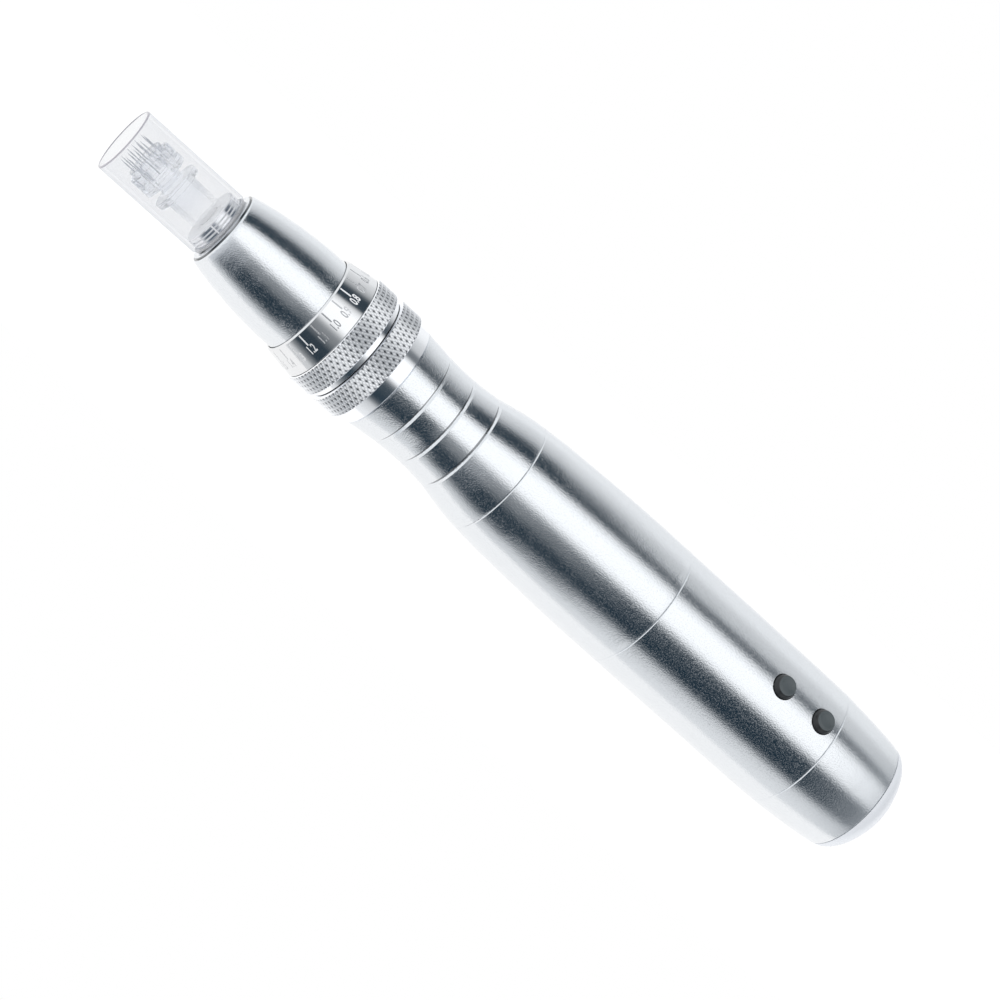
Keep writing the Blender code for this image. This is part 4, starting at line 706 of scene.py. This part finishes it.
# Barrels. Three blasted tubes screwed together: the first covers the motor, the second the battery and
# the buttons, the third tapers to the cap.
BODY_RADIUS = 11.94
blasted = finish("blasted_aluminium", {}, blasted_paint)
motor_barrel = turned("motor_barrel", [(82.38, 9.63), (82.38, 10.72),
                                       *curved([(82.6, 10.91), (85, 11.1), (87, 11.26), (90, 11.4), (95, 11.6),
                                                (98.4, 11.73), (103.6, 11.87), (110, BODY_RADIUS),
                                                (114.9, BODY_RADIUS)], 1.2),
                                       (115.03, 11.92), (115.03, 10.63), (119.9, 10.63), (120.05, 10.5),
                                       (120.05, 9.63)])
dress(motor_barrel, blasted, "blasted_aluminium", "handle", "middle_barrel")
battery_barrel = turned("battery_barrel", [(115.08, 10.73), (115.08, 11.75), (115.3, BODY_RADIUS),
                                           *curved([(130, BODY_RADIUS), (146, BODY_RADIUS), (150.2, 11.9),
                                                    (152.38, 11.85)], 1.2),
                                           (152.43, 11.82), (152.43, 10.57), (157.3, 10.57), (157.45, 10.4),
                                           (157.45, 9.37), (151.65, 9.37), (151.65, 10.73)])
BUTTON_PLACES, BUTTON_HOLE = {"front": 139.85, "rear": 149.05}, 2.22
for place in BUTTON_PLACES.values():
    bpy.ops.mesh.primitive_cylinder_add(vertices=64, radius=BUTTON_HOLE * MM, depth=6 * MM,
                                        location=on_axis(place) + Vector((0, 0, 11.5 * MM)))
    bpy.ops.object.transform_apply()
    shaped(battery_barrel, bpy.context.object)
dress(battery_barrel, blasted, "blasted_aluminium", "handle", "rear_barrel")
tail = turned("tail_taper", [(152.48, 10.67), (152.48, 11.66),
                             *curved([(152.7, 11.84), (154.5, 11.76), (156, 11.67), (158, 11.54), (160, 11.39),
                                      (161.8, 11.22), (163.2, 11.08), (165, 10.87), (165.85, 10.74)], 1.1),
                             (165.93, 10.66), (165.93, 9.37), (157.55, 9.37), (157.55, 10.67)])
dress(tail, blasted, "blasted_aluminium", "handle", "tail_sleeve")


# Buttons. Two dark grey rubber buttons with a dished top, which stand out of the battery barrel. A
# flange inside holds each of them over its switch.
def rubber_paint(place):
    """Grey rubber, with painted shade where the button's side goes down in its hole."""
    def paint(graph):
        here = graph.add("ShaderNodeTexCoord", {}, {}, "Object")
        out = graph.add("ShaderNodeMapping", {}, {"Vector": here, "Location": (-RIM_X - place * MM, 0, 0),
                                                  "Scale": (1, 1, 0)})
        radius = graph.add("ShaderNodeVectorMath", {"operation": "LENGTH"}, {0: out}, 1)
        # Painted shade: the base colour goes dark on the side wall, from 1.6 to 1.72 mm out from the button's
        # axis.
        return {"Base Color": between(graph, ramp(graph, radius, 1.6 * MM, 1.72 * MM), (0.074, 0.09, 0.098),
                                      (0.016, 0.018, 0.02)),
                "Roughness": between(graph, grain(graph, 0.1), 0.3, 0.42),
                "Normal": relief(graph, grain(graph, 0.12), 0.006)}
    return paint


for side, place in BUTTON_PLACES.items():
    node = f"{side}_button"
    foot = on_axis(place)
    foot.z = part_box(node)[0][2]
    button = turned(f"{side}_key", [(0, 0), (0, 2.3), (0.1, 2.4), (0.7, 2.4), (0.8, 2.3), (0.8, 2.05),
                                    (2.85, 2.05), (3.5, 1.76), (3.65, 1.64), (3.7, 1.5), (3.68, 1.36),
                                    (3.55, 1.15), (3.48, 0.9), (3.46, 0)], 64, foot)
    rubber = finish(f"grey_rubber_{side}", {}, rubber_paint(place))
    dress(button, rubber, "grey_rubber", f"{side}_key", node)


# End cap. A pearl lacquered dome with a flat end, pushed into the tail. The charging socket sits in
# its middle.
pearl = finish("pearl_cap", {"Metallic": 0.15},
               lambda graph: {
                   "Base Color": between(graph, grain(graph, 0.2), (0.78, 0.81, 0.86), (0.83, 0.86, 0.91)),
                   "Roughness": between(graph, grain(graph, 0.2), 0.3, 0.42),
                   "Normal": relief(graph, grain(graph, 0.15), 0.004)})
cap = turned("pearl_dome", [(161.05, 8.07), (161.05, 9.17), (161.15, 9.27), (166.07, 9.27), (166.07, 10.57),
                            *curved([(166.12, 10.63), (166.8, 10.46), (167.6, 10.02), (168.4, 9.32),
                                     (169.2, 8.25), (169.9, 7.01), (170.3, 6.25)], 0.2),
                            (170.44, 6.02), (170.5, 5.86), (170.5, 3.45), (170.4, 3.3), (168.9, 3.3),
                            (168.9, 4.5), (166.07, 4.5), (166.07, 8.07)])
dress(cap, pearl, "pearl_cap", "handle", "end_cap")
black = finish("black_plastic", {},
               lambda graph: {
                   "Base Color": between(graph, grain(graph, 0.6), (0.012, 0.012, 0.013), (0.02, 0.02, 0.022)),
                   "Roughness": between(graph, grain(graph, 0.2), 0.3, 0.5)})
jack = turned("charging_jack", [(161.2, 0.9), (161.2, 3.1), (161.3, 3.2), (167.6, 3.2), (167.6, 4.4),
                                (168.8, 4.4), (168.8, 3.2), (170.1, 3.2), (170.2, 3.1), (170.2, 2.7),
                                (170.1, 2.6), (162.7, 2.6), (162.7, 0.9)], 64)
dress(jack, black, "black_plastic", "handle", "charging_socket")
jack_pin = turned("charging_contact", [(159.7, 0), (159.7, 0.8), (168.6, 0.8), (168.85, 0.68), (168.97, 0.5),
                                       (169.0, 0.35), (169.0, 0)], 32)
dress(jack_pin, steel, "needle_steel", "handle", "charging_pin")


# Inside. Guide sleeve and pins, bushings, push rod, roller and slanted cam, motor, battery, board and
# switches keep the shapes of the solids and take their real finishes.
def refinished(material, *nodes):
    """Gives nodes that keep their own shape a finish."""
    for node in nodes:
        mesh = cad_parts[node].data
        mesh.materials.clear()
        mesh.materials.append(material)


def worn(name, low, high, metal, size, smooth, rough, stretch=(1, 1, 1)):
    """A finish whose colour and gloss go from one to another over a grain."""
    return finish(name, {"Metallic": metal},
                  lambda graph: {"Base Color": between(graph, grain(graph, size, stretch), low, high),
                                 "Roughness": between(graph, grain(graph, size, stretch), smooth, rough)})


brass = worn("turned_brass", (0.62, 0.44, 0.20), (0.74, 0.54, 0.27), 1.0, 0.3, 0.15, 0.35, (1, 0.02, 0.02))
acetal = worn("white_acetal", (0.78, 0.78, 0.76), (0.84, 0.84, 0.82), 0.0, 0.8, 0.35, 0.5)
motor_metal = worn("motor_can", (0.52, 0.53, 0.54), (0.64, 0.65, 0.66), 1.0, 0.5, 0.2, 0.38, (0.05, 1, 1))
wrap_film = worn("cell_wrap", (0.03, 0.12, 0.30), (0.04, 0.16, 0.38), 0.0, 2.0, 0.2, 0.32)
laminate = worn("board_laminate", (0.01, 0.10, 0.04), (0.02, 0.15, 0.06), 0.0, 0.7, 0.3, 0.5)
refinished(polished, "guide_sleeve", "swash_cam")
refinished(steel, "key_pin", "depth_pin", "push_rod", "follower_axle", "motor_shaft")
refinished(spring_steel, "rod_spring")
refinished(brass, "front_bushing", "rear_bushing", "battery_contact")
refinished(acetal, "follower_head", "follower_roller", "motor_plate", "motor_holder", "front_stop", "rear_stop")
refinished(motor_metal, "motor_can")
refinished(black, "motor_endbell", "front_switch", "rear_switch")
refinished(wrap_film, "battery")
refinished(laminate, "control_board")
